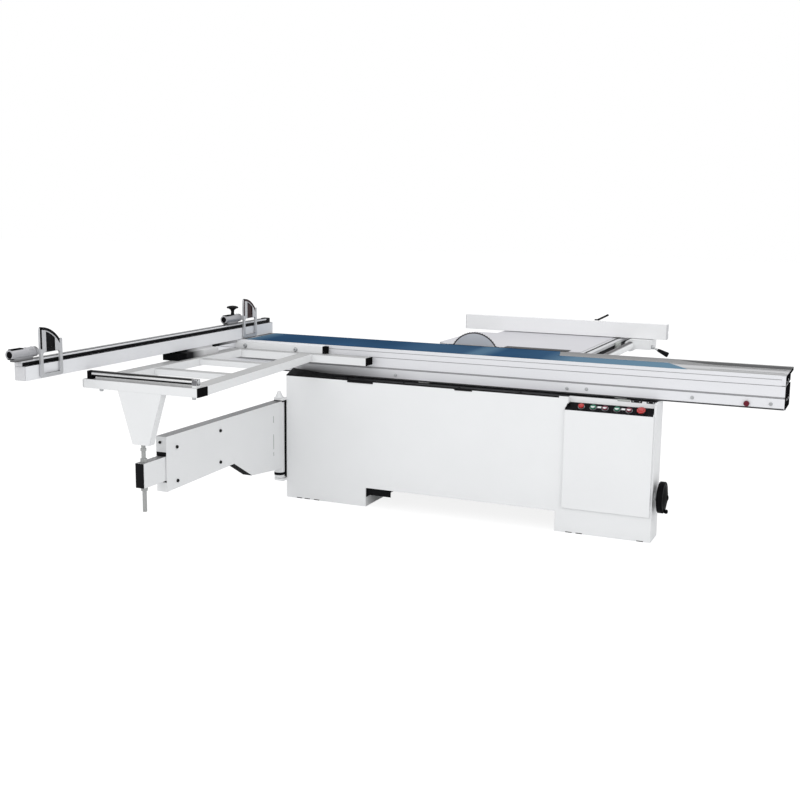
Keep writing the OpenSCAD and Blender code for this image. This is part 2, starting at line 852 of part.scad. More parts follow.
module crosscut_fence() {
    top_slot = 12;
    boss_r = pivot_pin_r + 7;
    color("silver") placed() difference() {
        union() {
            along_y(fence_y, fence_l) difference() {
                union() {
                    translate([fence_back, fence_z]) square([fence_t, fence_h]);
                    translate([fence_back, fence_z + fence_h - eps])
                        square([fence_rail_w, fence_rail_h + eps]);
                }
                translate([fence_back + fence_wall, fence_z + fence_wall])
                    square([fence_t - 2 * fence_wall, fence_h - 2 * fence_wall]);
                translate([fence_back + 7, fence_top - 8]) square([top_slot, 8 + eps]);
                translate([fence_back + 4, fence_top - 16]) square([top_slot + 6, 8 + eps]);
            }
            bar_z([pivot_x, pivot_y, fence_z], boss_r, fence_h);
        }
        bar_z([pivot_x, pivot_y, fence_z - eps], pivot_pin_r + run_fit, fence_h / 2 + 2);
    }
}

module stop_block(y) {
    y0 = y - hub_l / 2 - stop_l;
    color("silver") placed() difference() {
        union() {
            bar_y([stop_x, y0, stop_z], stop_r, stop_l - slip);
            translate([stop_x - stop_r * 0.7, y0 + 20, fence_top])
                cube([stop_r * 1.4, stop_l - 40, stop_z - fence_top]);
            bar_y([stop_x, y - hub_l / 2 - 1, stop_z], 7, hub_l + 1);
        }
        bar_y([stop_x, y0 - eps, stop_z], stop_r - 6, 45);
    }
}

// Flip stop: a cast frame with an arched top and two windows, hung on its barrel's end pin
module flip_outline(t) {
    arc_r = flip_w * 1.12;
    intersection() {
        translate([t, -flip_down + t]) round_rect(flip_w - 2 * t, flip_down + flip_up - 2 * t, 14);
        union() {
            translate([0, -flip_down]) square([flip_w, flip_down + flip_up - flip_side]);
            translate([0, flip_up - arc_r]) circle(arc_r - t, $fn = 96);
        }
    }
}

module stop_flip(y) {
    left = y - hub_l / 2;
    color("gray") placed() difference() {
        union() {
            along_x(flip_x, flip_t) translate([left, stop_z]) difference() {
                flip_outline(0);
                translate([flip_bar, 12]) square([flip_w - 2 * flip_bar, 34]);
                intersection() {
                    flip_outline(flip_bar);
                    translate([0, 12]) square(flip_w);
                }
                translate([flip_bar, -flip_down + flip_bar]) round_rect(flip_w - 2 * flip_bar,
                                                                       flip_down - flip_bar - 6, 10);
            }
            translate([stop_x, left, stop_z - 12]) cube([flip_x + 1 - stop_x, hub_l, 24]);
            bar_y([stop_x, left, stop_z], stop_r, hub_l);
        }
        bar_y([stop_x, left - 1, stop_z], 7 + run_fit, hub_l + 2);
    }
}

module stop_1_block() { stop_block(stop_1_y); }
module stop_2_block() { stop_block(stop_2_at); }
module stop_1_flip() { stop_flip(stop_1_y); }
module stop_2_flip() { stop_flip(stop_2_at); }

module stop_2_knob() {
    z = stop_z + stop_r + slip;
    color("black") placed() translate([stop_x, stop_2_at - hub_l / 2 - knob_y, z]) rotate_extrude()
        polygon([[0, 0], [11, 0], [9, 14], [11, 26], [26, 38], [27, 44], [16, 49], [0, 51]]);
}

// Main table and extension
module main_table() {
    cut_x = 60;
    cut_y = 60;
    under = table_h - main_rim;
    stand_y = 62;
    stand_l = 158;
    outline = [[main_x + cut_x, main_y], [main_x1, main_y], [main_x1, main_y1], [main_x, main_y1],
               [main_x, main_y + cut_y]];
    color("lightgray") placed() {
        translate([0, 0, table_h - main_plate]) linear_extrude(main_plate) polygon(outline);
        difference() {
            translate([0, 0, under]) linear_extrude(main_rim - eps) polygon(outline);
            translate([main_x + rim_t, main_y + cut_y, under - eps])
                cube([main_l - 2 * rim_t, main_w - cut_y - rim_t, main_rim]);
            translate([main_x + cut_x + rim_t, main_y + rim_t - 1, under - eps])
                cube([main_l - cut_x - 2 * rim_t, cut_y + 2, main_rim]);
            translate([well_x, main_y - eps, under - eps])
                cube([well_l, rim_t + 2 * eps, main_rim - main_plate + eps]);
        }
        for (x = [well_x - leg_gap - leg_t, well_x + well_l + leg_gap])
            translate([x, main_y + stand_y, plate_z]) cube([leg_t, stand_l, table_h - main_plate - plate_z]);
    }
}

module table_insert() {
    z = table_h - insert_t;
    scoring_chord = sqrt(pow(scoring_r, 2) - pow(scoring_r - scoring_up - insert_t, 2));
    color("dimgray") placed() difference() {
        translate([well_x + 20, insert_y, z]) cube([well_l - 30, main_y - insert_y, insert_t]);
        translate([arbor_x - blade_r - 30, blade_y - 3, z - eps])
            cube([2 * blade_r + 36, 6, insert_t + 2 * eps]);
        translate([scoring_x - scoring_chord - 5, blade_y - 3, z - eps])
            cube([2 * scoring_chord + 10, 6, insert_t + 2 * eps]);
    }
}

module extension_table() {
    color("lightgray") placed() difference() {
        translate([ext_x, main_y1, table_h - ext_rim]) cube([ext_l + 5, ext_w, ext_rim]);
        translate([ext_x + ext_sheet, main_y1 + ext_sheet, table_h - ext_rim - eps])
            cube([ext_l + 5 - 2 * ext_sheet, ext_w - 2 * ext_sheet, ext_rim - ext_sheet + eps]);
    }
}

module rip_rail() {
    l = ext_y1 - main_y;
    color("silver") placed() {
        along_y(main_y, l) translate([main_x1, rail_top - rail_h]) difference() {
            square([rail_w, rail_h]);
            translate([4, 4]) square([rail_w - 20, rail_h - 8]);
            translate([rail_w - 10, rail_h / 2 - 5]) square([10 + eps, 10]);
        }
        for (y = [main_y + 20, ext_y1 - rail_end_t])
            translate([main_x1 + rail_w - 10, y, guide_z - guide_r - 4])
                cube([guide_out - rail_w + guide_r + 16, rail_end_t, 2 * guide_r + 6]);
    }
}

module rip_bar() {
    y0 = main_y + 20 + rail_end_t;
    color("white") placed() bar_y([guide_x, y0, guide_z], guide_r, ext_y1 - rail_end_t - y0);
}

module rip_carrier() {
    bore_r = guide_r + guide_clear;
    color("white") placed() difference() {
        union() {
            bar_y([guide_x, carrier_y, guide_z], carrier_r, carrier_l);
            translate([guide_x, carrier_y, guide_z - 20]) cube([carrier_reach, carrier_l, 55]);
            translate([guide_x - 20, arm_block_y, guide_z])
                cube([carrier_reach + 20, head_t, rip_z + head_h - guide_z]);
            translate([arm_block_x, arm_block_y, rip_z]) cube([head_reach + carrier_reach, head_t, head_h]);
            translate([arm_block_x + 10, arm_block_y - rip_groove_d + 1, rip_z + 40 - rip_groove_h / 2 + 1])
                cube([head_reach + carrier_reach - 20, rip_groove_d, rip_groove_h - 2]);
        }
        bar_y([guide_x, carrier_y - eps, guide_z], bore_r, carrier_l + 2 * eps);
    }
}

module rip_fence() {
    groove_z = 40 - rip_groove_h / 2;
    color("silver") placed() along_x(rip_x, rip_l) translate([rip_y, rip_z]) difference() {
        square([rip_t, rip_h]);
        translate([fence_wall, fence_wall])
            square([rip_t - rip_groove_d - 3 * fence_wall, rip_h - 2 * fence_wall]);
        translate([rip_t - rip_groove_d, groove_z]) square([rip_groove_d + eps, rip_groove_h]);
    }
}

module carrier_lever() {
    color("black") placed() translate([guide_x + carrier_reach + slip, carrier_y + 40, guide_z - 8]) {
        rotate([0, 90, 0]) cylinder(r = 12, h = 16);
        translate([8, 0, 0]) rotate([0, 114, 0]) cylinder(r1 = 5, r2 = 11, h = 96);
    }
}

module fence_lever() {
    z = rip_z + head_h + slip;
    color("black") placed() translate([lever_x, arm_block_y + head_t / 2, z]) {
        cylinder(r = 12, h = 34);
        translate([0, 0, 26]) rotate([0, 62, 0]) cylinder(r = 6, h = 82);
    }
}

// Saw unit
module saw_pivot() {
    floor_z = foot_h + sheet_t;
    color("slategray") placed() {
        for (y = [post_y0, post_y1 - post_t]) along_y(y, post_t)
            polygon([[saw_x - post_w / 2, floor_z], [saw_x + post_w / 2, floor_z],
                     [saw_x + sleeve_r + 10, saw_z + sleeve_r], [saw_x - sleeve_r - 10, saw_z + sleeve_r]]);
        bar_y([saw_x, post_y0 + 1, saw_z], pivot_r, post_y1 - post_y0 - 2);
    }
}

module saw_arm() {
    web_y = housing_y + 20;
    web_t = 40;
    color("slategray") placed() difference() {
        union() {
            bar_y([saw_x, sleeve_y0, saw_z], sleeve_r, sleeve_y1 - sleeve_y0);
            bar_y([arbor_x, housing_y, arbor_z], housing_r, housing_l);
            along_y(web_y, web_t) polygon([[saw_x + 12, saw_z - 30], [saw_x + 12, saw_z + 32],
                [arbor_x + 10, arbor_z + housing_r - 4], [arbor_x - housing_r + 4, arbor_z - 6],
                [motor_x - 40, motor_z + motor_r + 22], [motor_x + 70, motor_z + motor_r - 20]]);
            translate([motor_x - 90, motor_y + 30, motor_z + motor_r]) cube([190, web_y - motor_y + 10, 22]);
            for (y = [wheel_y - lever_gap / 2 - lever_t, wheel_y + lever_gap / 2]) along_y(y, lever_t)
                polygon([[saw_x - sleeve_r + 2, saw_z], [saw_x + sleeve_r - 2, saw_z],
                         [saw_x + 24, wheel_z - 24], [saw_x - 24, wheel_z - 24]]);
        }
        bar_y([saw_x, sleeve_y0 - eps, saw_z], pivot_r + run_fit, sleeve_y1 - sleeve_y0 + 2 * eps);
        bar_y([arbor_x, housing_y - eps, arbor_z], arbor_r + run_fit, housing_l + 2 * eps);
        translate([saw_x - fork_w / 2, wheel_y - lever_gap, wheel_z - 40]) cube([fork_w, 2 * lever_gap, 62]);
        bar_y([motor_x, motor_y, motor_z], motor_r, motor_l);
    }
}

module arbor() {
    y0 = blade_y - blade_t / 2 - 13;
    color("gray") placed() {
        bar_y([arbor_x, y0, arbor_z], arbor_r, pulley_y + pulley_l - y0);
        bar_y([arbor_x, blade_y + blade_t / 2, arbor_z], 45, 14);
        bar_y([arbor_x, blade_y - blade_t / 2 - 6, arbor_z], 45, 6);
        translate([arbor_x, y0, arbor_z]) rotate([-90, 0, 0]) cylinder(r = 25, h = 8, $fn = 6);
        bar_y([arbor_x, pulley_y, arbor_z], arbor_pulley_r, pulley_l);
    }
}

// One tooth's points: the gullet's floor, the back, the tip and the face
function tooth(r, n, i) = let (a = 360 * i / n, d = 360 / n, low = r - 8)
    [[low * cos(a), low * sin(a)], [(r - 2.5) * cos(a + 0.35 * d), (r - 2.5) * sin(a + 0.35 * d)],
     [r * cos(a + 0.78 * d), r * sin(a + 0.78 * d)], [low * cos(a + 0.86 * d), low * sin(a + 0.86 * d)]];

module toothed(r, n, bore_r) {
    difference() {
        polygon([for (i = [0:n - 1], p = tooth(r, n, i)) p]);
        circle(bore_r);
    }
}

module saw_blade() {
    color("silver") placed() translate([arbor_x, blade_y + blade_t / 2, arbor_z]) rotate([90, 0, 0])
        linear_extrude(blade_t) toothed(blade_r, blade_teeth, arbor_r);
}

module main_motor() {
    color("steelblue") placed() {
        difference() {
            bar_y([motor_x, motor_y, motor_z], motor_r, motor_l);
            bar_y([motor_x, motor_y + motor_l - 20, motor_z], 15 + run_fit, 20 + eps);
        }
        bar_y([motor_x, motor_y - 30, motor_z], motor_r - 8, 30);
    }
}

module motor_pulley() {
    color("gray") placed() {
        bar_y([motor_x, motor_y + motor_l - 18, motor_z], 15, pulley_y + 2 - motor_y - motor_l + 18);
        bar_y([motor_x, pulley_y, motor_z], motor_pulley_r, pulley_l);
    }
}

// Points round two pulleys, drawn in X and Z
function loop(p, pr, q, qr, n = 24) = let (v = q - p, a = atan2(v[1], v[0]), b = acos((pr - qr) / norm(v)))
    [for (i = [0:n]) p + pr * [cos(a + b + i * (360 - 2 * b) / n), sin(a + b + i * (360 - 2 * b) / n)],
     for (i = [0:n]) q + qr * [cos(a - b + i * 2 * b / n), sin(a - b + i * 2 * b / n)]];

// A belt round two pulleys, as a flat loop
module belt_loop(p, pr, q, qr, t) {
    difference() {
        polygon(loop(p, pr + t, q, qr + t));
        polygon(loop(p, pr + slip, q, qr + slip));
    }
}

module drive_belt() {
    color("black") placed() along_y(pulley_y + (pulley_l - belt_w) / 2, belt_w)
        belt_loop([motor_x, motor_z], motor_pulley_r, [arbor_x, arbor_z], arbor_pulley_r, belt_t);
}

module scoring_bracket() {
    under = table_h - main_plate;
    plate_y = scoring_house_y + 8;
    saddle_z = scoring_motor_z + scoring_motor_r - 14;
    color("slategray") placed() difference() {
        union() {
            bar_y([scoring_x, scoring_house_y, scoring_z], scoring_house_r, scoring_house_l);
            along_y(plate_y, 44) polygon([[scoring_x - 10, scoring_z + 12], [scoring_x + 10, under],
                [scoring_motor_x + 55, under], [scoring_motor_x + 55, scoring_motor_z + 30],
                [scoring_x, scoring_z - 20]]);
            translate([scoring_motor_x - 55, plate_y, under - 10])
                cube([110, scoring_motor_y + scoring_motor_l - plate_y, 10]);
            translate([scoring_motor_x - 35, scoring_motor_y + 10, saddle_z])
                cube([70, scoring_motor_l - 20, under - 5 - saddle_z]);
        }
        bar_y([scoring_x, scoring_house_y - eps, scoring_z], scoring_arbor_r + run_fit, scoring_house_l + 1);
        bar_y([scoring_motor_x, scoring_motor_y, scoring_motor_z], scoring_motor_r, scoring_motor_l);
    }
}

module scoring_motor() {
    color("steelblue") placed() difference() {
        bar_y([scoring_motor_x, scoring_motor_y, scoring_motor_z], scoring_motor_r, scoring_motor_l);
        bar_y([scoring_motor_x, scoring_motor_y - eps, scoring_motor_z], 10 + run_fit, 20);
    }
}

module scoring_pulley() {
    color("gray") placed() {
        bar_y([scoring_motor_x, scoring_pulley_y, scoring_motor_z], scoring_drive_r, scoring_pulley_l);
        bar_y([scoring_motor_x, scoring_pulley_y, scoring_motor_z], 10, scoring_pulley_l + 26);
    }
}

module scoring_belt() {
    color("black") placed() along_y(scoring_pulley_y + 3, scoring_pulley_l - 6)
        belt_loop([scoring_motor_x, scoring_motor_z], scoring_drive_r, [scoring_x, scoring_z],
                  scoring_pulley_r, 4);
}

module scoring_blade() {
    y0 = blade_y - scoring_t / 2;
    color("silver") placed() {
        translate([scoring_x, y0 + scoring_t, scoring_z]) rotate([90, 0, 0])
            linear_extrude(scoring_t) toothed(scoring_r, 24, scoring_arbor_r - 2);
        bar_y([scoring_x, y0 - 6, scoring_z], scoring_arbor_r, scoring_pulley_y + scoring_pulley_l - y0 + 6);
        bar_y([scoring_x, y0 + scoring_t, scoring_z], 24, 12);
        bar_y([scoring_x, y0 - 6, scoring_z], 22, 6);
        bar_y([scoring_x, scoring_pulley_y, scoring_z], scoring_pulley_r, scoring_pulley_l);
    }
}

// Height adjustment
module lift_nut() {
    pin_l = lever_gap + 2 * lever_t + 4;
    color("goldenrod") placed() difference() {
        union() {
            translate([nut_x - nut_half, wheel_y - nut_w / 2, wheel_z - nut_w / 2])
                cube([2 * nut_half, nut_w, nut_w]);
            bar_y([nut_x, wheel_y - pin_l / 2, wheel_z], trunnion_r, pin_l);
        }
        bar_x([nut_x - nut_half - 1, wheel_y, wheel_z], screw_r + run_fit, 2 * nut_half + 2);
    }
}

module lift_screw() {
    color("gray") placed() bar_x([screw_x0, wheel_y, wheel_z], screw_r, screw_x1 - screw_x0);
}

module handwheel() {
    inner_r = wheel_r - wheel_rim;
    hub_r = screw_r + 11;
    face = wheel_t - 2;
    color("black") placed() translate([wheel_x, wheel_y, wheel_z]) rotate([0, 90, 0]) difference() {
        rotate_extrude() polygon([[0, 0], [hub_r, 0], [hub_r, 22], [inner_r, 12], [inner_r, 4],
            [inner_r + 2, 2], [wheel_r - 3, 2], [wheel_r, 5], [wheel_r, face - 3], [wheel_r - 3, face],
            [inner_r + 2, face], [wheel_r / 2, face + 8], [hub_r, wheel_t + wheel_dome],
            [0, wheel_t + wheel_dome + 1]]);
        translate([0, 0, -1]) cylinder(r = screw_r + run_fit, h = wheel_t + 2);
        translate([handle_at, 0, -1]) cylinder(r = 5 + run_fit, h = wheel_t + 2);
    }
}

module wheel_handle() {
    color("black") placed() translate([wheel_x, wheel_y, wheel_z]) rotate([0, 90, 0])
        translate([handle_at, 0, 0]) {
            translate([0, 0, 3]) cylinder(r = 5, h = wheel_t);
            translate([0, 0, wheel_t - 2 + slip]) rotate_extrude()
                polygon([[0, 0], [8, 0], [handle_r, 10], [handle_r, 24], [7, handle_l], [0, handle_l]]);
        }
}

module table_lock_button() {
    color("red") placed() bar_y([lock_x, -lock_out, lock_z], lock_r, lock_out + lock_in);
}

cabinet();
cabinet_top();
control_cover();
button_strip();
beam();
guide_rods();
beam_mounts();
hinge_bracket();
main_table();
table_insert();
extension_table();
rip_rail();
rip_bar();
saw_pivot();
scoring_bracket();
scoring_motor();
scoring_belt();
signal_lamp();
carriage();
carriage_caps();
mounting_bar();
frame_front_rail();
frame_left_rail();
frame_right_rail();
frame_inner_rail();
frame_slats();
support_bracket();
fence_pivot();
roller();
crosscut_fence();
stop_1_block();
stop_1_flip();
stop_2_block();
stop_2_flip();
stop_2_knob();
support_arm();
telescope();
support_rod();
saw_arm();
arbor();
saw_blade();
main_motor();
motor_pulley();
drive_belt();
scoring_blade();
scoring_pulley();
handwheel();
lift_screw();
wheel_handle();
lift_nut();
rip_carrier();
rip_fence();
carrier_lever();
fence_lever();
start_button_1();
start_button_2();
stop_button_1();
stop_button_2();
emergency_stop();
table_lock_button();
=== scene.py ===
# Sliding table saw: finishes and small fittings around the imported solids.
import math

import bmesh
import bpy
from mathutils import Matrix, Vector, noise


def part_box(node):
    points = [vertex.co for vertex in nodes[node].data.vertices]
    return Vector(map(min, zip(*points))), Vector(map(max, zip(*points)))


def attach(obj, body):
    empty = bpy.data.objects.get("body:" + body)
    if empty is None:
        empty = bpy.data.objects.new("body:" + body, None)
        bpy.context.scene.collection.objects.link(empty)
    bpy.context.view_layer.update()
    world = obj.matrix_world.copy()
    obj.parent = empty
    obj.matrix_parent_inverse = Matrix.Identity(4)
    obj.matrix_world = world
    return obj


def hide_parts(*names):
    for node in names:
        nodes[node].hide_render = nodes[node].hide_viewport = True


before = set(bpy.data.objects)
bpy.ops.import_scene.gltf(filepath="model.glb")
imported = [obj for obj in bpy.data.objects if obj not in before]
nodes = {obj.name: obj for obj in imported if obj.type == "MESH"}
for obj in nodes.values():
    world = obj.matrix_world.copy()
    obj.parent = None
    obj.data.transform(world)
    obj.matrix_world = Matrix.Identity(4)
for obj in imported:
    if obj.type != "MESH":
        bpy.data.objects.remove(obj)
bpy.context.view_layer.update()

# Camera: a plain tripod camera off the operator's corner, a little above the fence.
# Its lens and place follow from the straight edges of table, cabinet and fence.
focal_px, frame_px, sensor_mm = 1151.33, 800, 36
stand = (2.0864, -5.5306, 1.6872)
turn, dip, roll = math.radians(23.60), math.radians(9.86), math.radians(0.69)
ahead = Vector((-math.sin(turn) * math.cos(dip), math.cos(turn) * math.cos(dip), -math.sin(dip)))
level = Vector((math.cos(turn), math.sin(turn), 0))
upright = level.cross(ahead)
right = math.cos(roll) * level + math.sin(roll) * upright
up = right.cross(ahead)
camera = bpy.data.objects.new("camera", bpy.data.cameras.new("camera"))
bpy.context.scene.collection.objects.link(camera)
camera.data.sensor_width = sensor_mm
camera.data.lens = sensor_mm * focal_px / frame_px
camera.data.clip_end = 60
camera.matrix_world = Matrix.Translation(stand) @ Matrix((right, up, -ahead)).transposed().to_4x4()
bpy.context.scene.camera = camera

# Studio: a pale floor that runs out of sight into a white room, with broad soft lamps.
# The floor is white to the lens but still takes the saw's soft shadow.
scene = bpy.context.scene
scene.view_settings.view_transform = "Standard"
room = bpy.data.worlds.new("white_room")
scene.world = room
room.use_nodes = True
sky = room.node_tree.nodes
sky_light = sky["Background"]
sky_light.inputs["Strength"].default_value = 0.88
sky_light.inputs["Color"].default_value = (0.98, 0.99, 1, 1)
sky_seen = sky.new("ShaderNodeBackground")
sky_seen.inputs["Color"].default_value = (1, 1, 1, 1)
sky_path = sky.new("ShaderNodeLightPath")
seen = sky.new("ShaderNodeMath")
seen.operation = "MAXIMUM"
shiny = sky.new("ShaderNodeMath")
shiny.operation = "MAXIMUM"
sky_mix = sky.new("ShaderNodeMixShader")
link = room.node_tree.links.new
link(sky_path.outputs["Is Glossy Ray"], shiny.inputs[0])
link(sky_path.outputs["Is Transmission Ray"], shiny.inputs[1])
link(sky_path.outputs["Is Camera Ray"], seen.inputs[0])
link(shiny.outputs[0], seen.inputs[1])
link(seen.outputs[0], sky_mix.inputs["Fac"])
link(sky_light.outputs[0], sky_mix.inputs[1])
link(sky_seen.outputs[0], sky_mix.inputs[2])
link(sky_mix.outputs[0], sky["World Output"].inputs["Surface"])

bpy.ops.mesh.primitive_plane_add(size=60)
floor = bpy.context.object
floor.name = "studio_floor"
floor_paint = bpy.data.materials.new("studio_floor")
floor_paint.use_nodes = True
tree = floor_paint.node_tree
matt = tree.nodes["Principled BSDF"]
matt.inputs["Base Color"].default_value = (0.86, 0.86, 0.86, 1)
matt.inputs["Roughness"].default_value = 1
matt.inputs["Specular IOR Level"].default_value = 0
glow = tree.nodes.new("ShaderNodeEmission")
glow.inputs["Strength"].default_value = 1.2
lens_ray = tree.nodes.new("ShaderNodeLightPath")
share = tree.nodes.new("ShaderNodeMath")
share.operation = "MULTIPLY"
share.inputs[1].default_value = 0.72
floor_mix = tree.nodes.new("ShaderNodeMixShader")
tree.links.new(lens_ray.outputs["Is Camera Ray"], share.inputs[0])
tree.links.new(share.outputs[0], floor_mix.inputs["Fac"])
tree.links.new(matt.outputs[0], floor_mix.inputs[1])
tree.links.new(glow.outputs[0], floor_mix.inputs[2])
tree.links.new(floor_mix.outputs[0], tree.nodes["Material Output"].inputs["Surface"])
floor.data.materials.append(floor_paint)

lamp_aim = Vector((0, 0, 0.5))
for name, place, size, watts in (("key_lamp", (-1.8, -6.0, 3.6), 3.5, 78),
                                 ("fill_lamp", (5.5, -3.5, 3.0), 3.0, 50),
                                 ("top_lamp", (0.5, 1.5, 6.0), 4.5, 50)):
    lamp = bpy.data.objects.new(name, bpy.data.lights.new(name, "AREA"))
    scene.collection.objects.link(lamp)
    lamp.data.size = size
    lamp.data.energy = watts
    lamp.location = place
    lamp.rotation_euler = (lamp_aim - Vector(place)).to_track_quat("-Z", "Y").to_euler()


# Cabinet: folded sheet steel, welded at the corners, with two feet and a space between them.
# It is powder coated in white, with a fine orange peel and a little bare steel on sharp edges.
def surface(name, colour, rough, metal=0.0, grain=450, depth=0.15, patch=0.03, worn=None,
            edge=0.0012, coat=0.0, spec=0.5, vary=0.15, top_shade=None):
    finish = bpy.data.materials.new(name)
    finish.use_nodes = True
    graph = finish.node_tree.nodes
    join = finish.node_tree.links.new
    shader = graph["Principled BSDF"]
    shader.inputs["Metallic"].default_value = metal
    shader.inputs["Coat Weight"].default_value = coat
    shader.inputs["Specular IOR Level"].default_value = spec
    where = graph.new("ShaderNodeTexCoord")
    stretch = graph.new("ShaderNodeMapping")
    even = not isinstance(grain, tuple)
    stretch.inputs["Scale"].default_value = (grain, grain, grain) if even else grain
    join(where.outputs["Object"], stretch.inputs["Vector"])
    fine = graph.new("ShaderNodeTexNoise")
    fine.inputs["Scale"].default_value = 1
    fine.inputs["Detail"].default_value = 3
    join(stretch.outputs[0], fine.inputs["Vector"])
    cloud = graph.new("ShaderNodeTexNoise")
    cloud.inputs["Scale"].default_value = 3.1
    cloud.inputs["Detail"].default_value = 5
    join(where.outputs["Object"], cloud.inputs["Vector"])
    round_off = graph.new("ShaderNodeBevel")
    round_off.samples = 4
    round_off.inputs["Radius"].default_value = edge
    bump = graph.new("ShaderNodeBump")
    bump.inputs["Strength"].default_value = depth
    bump.inputs["Distance"].default_value = 0.0004
    join(fine.outputs["Fac"], bump.inputs["Height"])
    join(round_off.outputs[0], bump.inputs["Normal"])
    join(bump.outputs[0], shader.inputs["Normal"])
    gloss = graph.new("ShaderNodeMapRange")
    gloss.inputs["From Min"].default_value = 0.3
    gloss.inputs["From Max"].default_value = 0.7
    gloss.inputs["To Min"].default_value = rough * (1 - vary)
    gloss.inputs["To Max"].default_value = min(1, rough * (1 + vary))
    join(fine.outputs["Fac"], gloss.inputs["Value"])
    join(gloss.outputs[0], shader.inputs["Roughness"])
    tint = graph.new("ShaderNodeMix")
    tint.data_type = "RGBA"
    tint.inputs["A"].default_value = (*colour, 1)
    tint.inputs["B"].default_value = (*[c * (1 - 2 * patch) for c in colour], 1)
    join(cloud.outputs["Fac"], tint.inputs["Factor"])
    out = tint.outputs["Result"]
    facing = graph.new("ShaderNodeNewGeometry")
    if worn:
        bend = graph.new("ShaderNodeVectorMath")
        bend.operation = "DOT_PRODUCT"
        join(round_off.outputs[0], bend.inputs[0])
        join(facing.outputs["Normal"], bend.inputs[1])
        rub = graph.new("ShaderNodeMapRange")
        rub.inputs["From Min"].default_value = 0.97
        rub.inputs["From Max"].default_value = 0.74
        join(bend.outputs["Value"], rub.inputs["Value"])
        chips = graph.new("ShaderNodeTexNoise")
        chips.inputs["Scale"].default_value = 55
        join(where.outputs["Object"], chips.inputs["Vector"])
        where_worn = graph.new("ShaderNodeMath")
        where_worn.operation = "MULTIPLY"
        join(rub.outputs[0], where_worn.inputs[0])
        join(chips.outputs["Fac"], where_worn.inputs[1])
        bare = graph.new("ShaderNodeMix")
        bare.data_type = "RGBA"
        bare.inputs["B"].default_value = (*worn, 1)
        join(where_worn.outputs[0], bare.inputs["Factor"])
        join(out, bare.inputs["A"])
        out = bare.outputs["Result"]
    # Painted shade: faces that point up take the darker top colour.
    if top_shade:
        heading = graph.new("ShaderNodeSeparateXYZ")
        join(facing.outputs["Normal"], heading.inputs[0])
        lying = graph.new("ShaderNodeMapRange")
        lying.inputs["From Min"].default_value = 0.6
        lying.inputs["From Max"].default_value = 0.85
        join(heading.outputs["Z"], lying.inputs["Value"])
        cover = graph.new("ShaderNodeMix")
        cover.name = "upper_faces"
        cover.data_type = "RGBA"
        cover.inputs["B"].default_value = (*top_shade, 1)
        join(lying.outputs[0], cover.inputs["Factor"])
        join(out, cover.inputs["A"])
        out = cover.outputs["Result"]
    join(out, shader.inputs["Base Color"])
    return finish


def dress(material, *names):
    for name in names:
        nodes[name].data.materials.clear()
        nodes[name].data.materials.append(material)


bare_steel = (0.62, 0.62, 0.63)
white = surface("white_powder_coat", (0.82, 0.825, 0.83), 0.42, worn=bare_steel, edge=0.002, spec=0.35)
dress(white, "cabinet")

# Feet shades: matt black sheets inside the feet, under the cabinet and as a short front skirt are painted
# shade.
# Black packing slips show at the feet's front edge. Matt, a little uneven, with soft folded edges.
middle_x, middle_y, mm_per_m = 1600, -174.5, 1000


def at(x, y, z):
    return Vector(((x - middle_x) / mm_per_m, (y - middle_y) / mm_per_m, z / mm_per_m))


def block(bm, low, high, soft=0.0, steps=2):
    made = bmesh.ops.create_cube(bm, size=1)["verts"]
    for v in made:
        v.co = Vector(((low[i] + high[i]) / 2 + v.co[i] * (high[i] - low[i]) for i in range(3)))
    if soft:
        edges = list({e for v in made for e in v.link_edges})
        bmesh.ops.bevel(bm, geom=edges, offset=soft, segments=steps, affect="EDGES", profile=0.5)


def fit(bm, name, body, material, sharp=35):
    bmesh.ops.recalc_face_normals(bm, faces=bm.faces)
    mesh = bpy.data.meshes.new(name)
    bm.to_mesh(mesh)
    bm.free()
    mesh.shade_smooth()
    mesh.set_sharp_from_angle(angle=math.radians(sharp))
    mesh.materials.append(material)
    piece = bpy.data.objects.new(name, mesh)
    scene.collection.objects.link(piece)
    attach(piece, body)
    return piece


matt_black_shade = surface("matt_black_shade", (0.008, 0.008, 0.009), 0.75, grain=220, depth=0.3, spec=0.06)
shade_sheet_t, shade_sheet_low, shade_sheet_top, shade_sheet_back = 2.5, 54, 104, 615
slip_l, slip_low, slip_top = 34, 0.3, 4.5
bm = bmesh.new()
for x, front in ((1025, -70), (2107.5, -60)):
    block(bm, at(x, front, shade_sheet_low), at(x + shade_sheet_t, shade_sheet_back, shade_sheet_top), 0.0008)
block(bm, at(1030, -60, 104.5), at(2104, shade_sheet_back, 104.5 + shade_sheet_t), 0.0008)
block(bm, at(1027.6, -63, 65), at(1172, -63 + shade_sheet_t, 104.4), 0.0012)
for x in (590, 640, 700, 2170, 2225, 2540):
    block(bm, at(x, -76, slip_low), at(x + slip_l, -74.8, slip_top), 0.0005)
fit(bm, "feet_shade_sheets_and_slips", "base", matt_black_shade)

# Cabinet top: a black steel plate screwed on the cabinet, with a well for the saw unit.
# Satin black paint, scuffed to grey on its edges; two short lips are bent down over the cabinet's front, and
# a black wedge of painted shade rises against the beam at its left end.
black = surface("satin_black_paint", (0.008, 0.008, 0.009), 0.5, worn=(0.05, 0.05, 0.05), spec=0.1)
dress(black, "cabinet_top")
zinc = surface("zinc_plated_steel", (0.5, 0.51, 0.52), 0.34, metal=1, grain=300, depth=0.08)


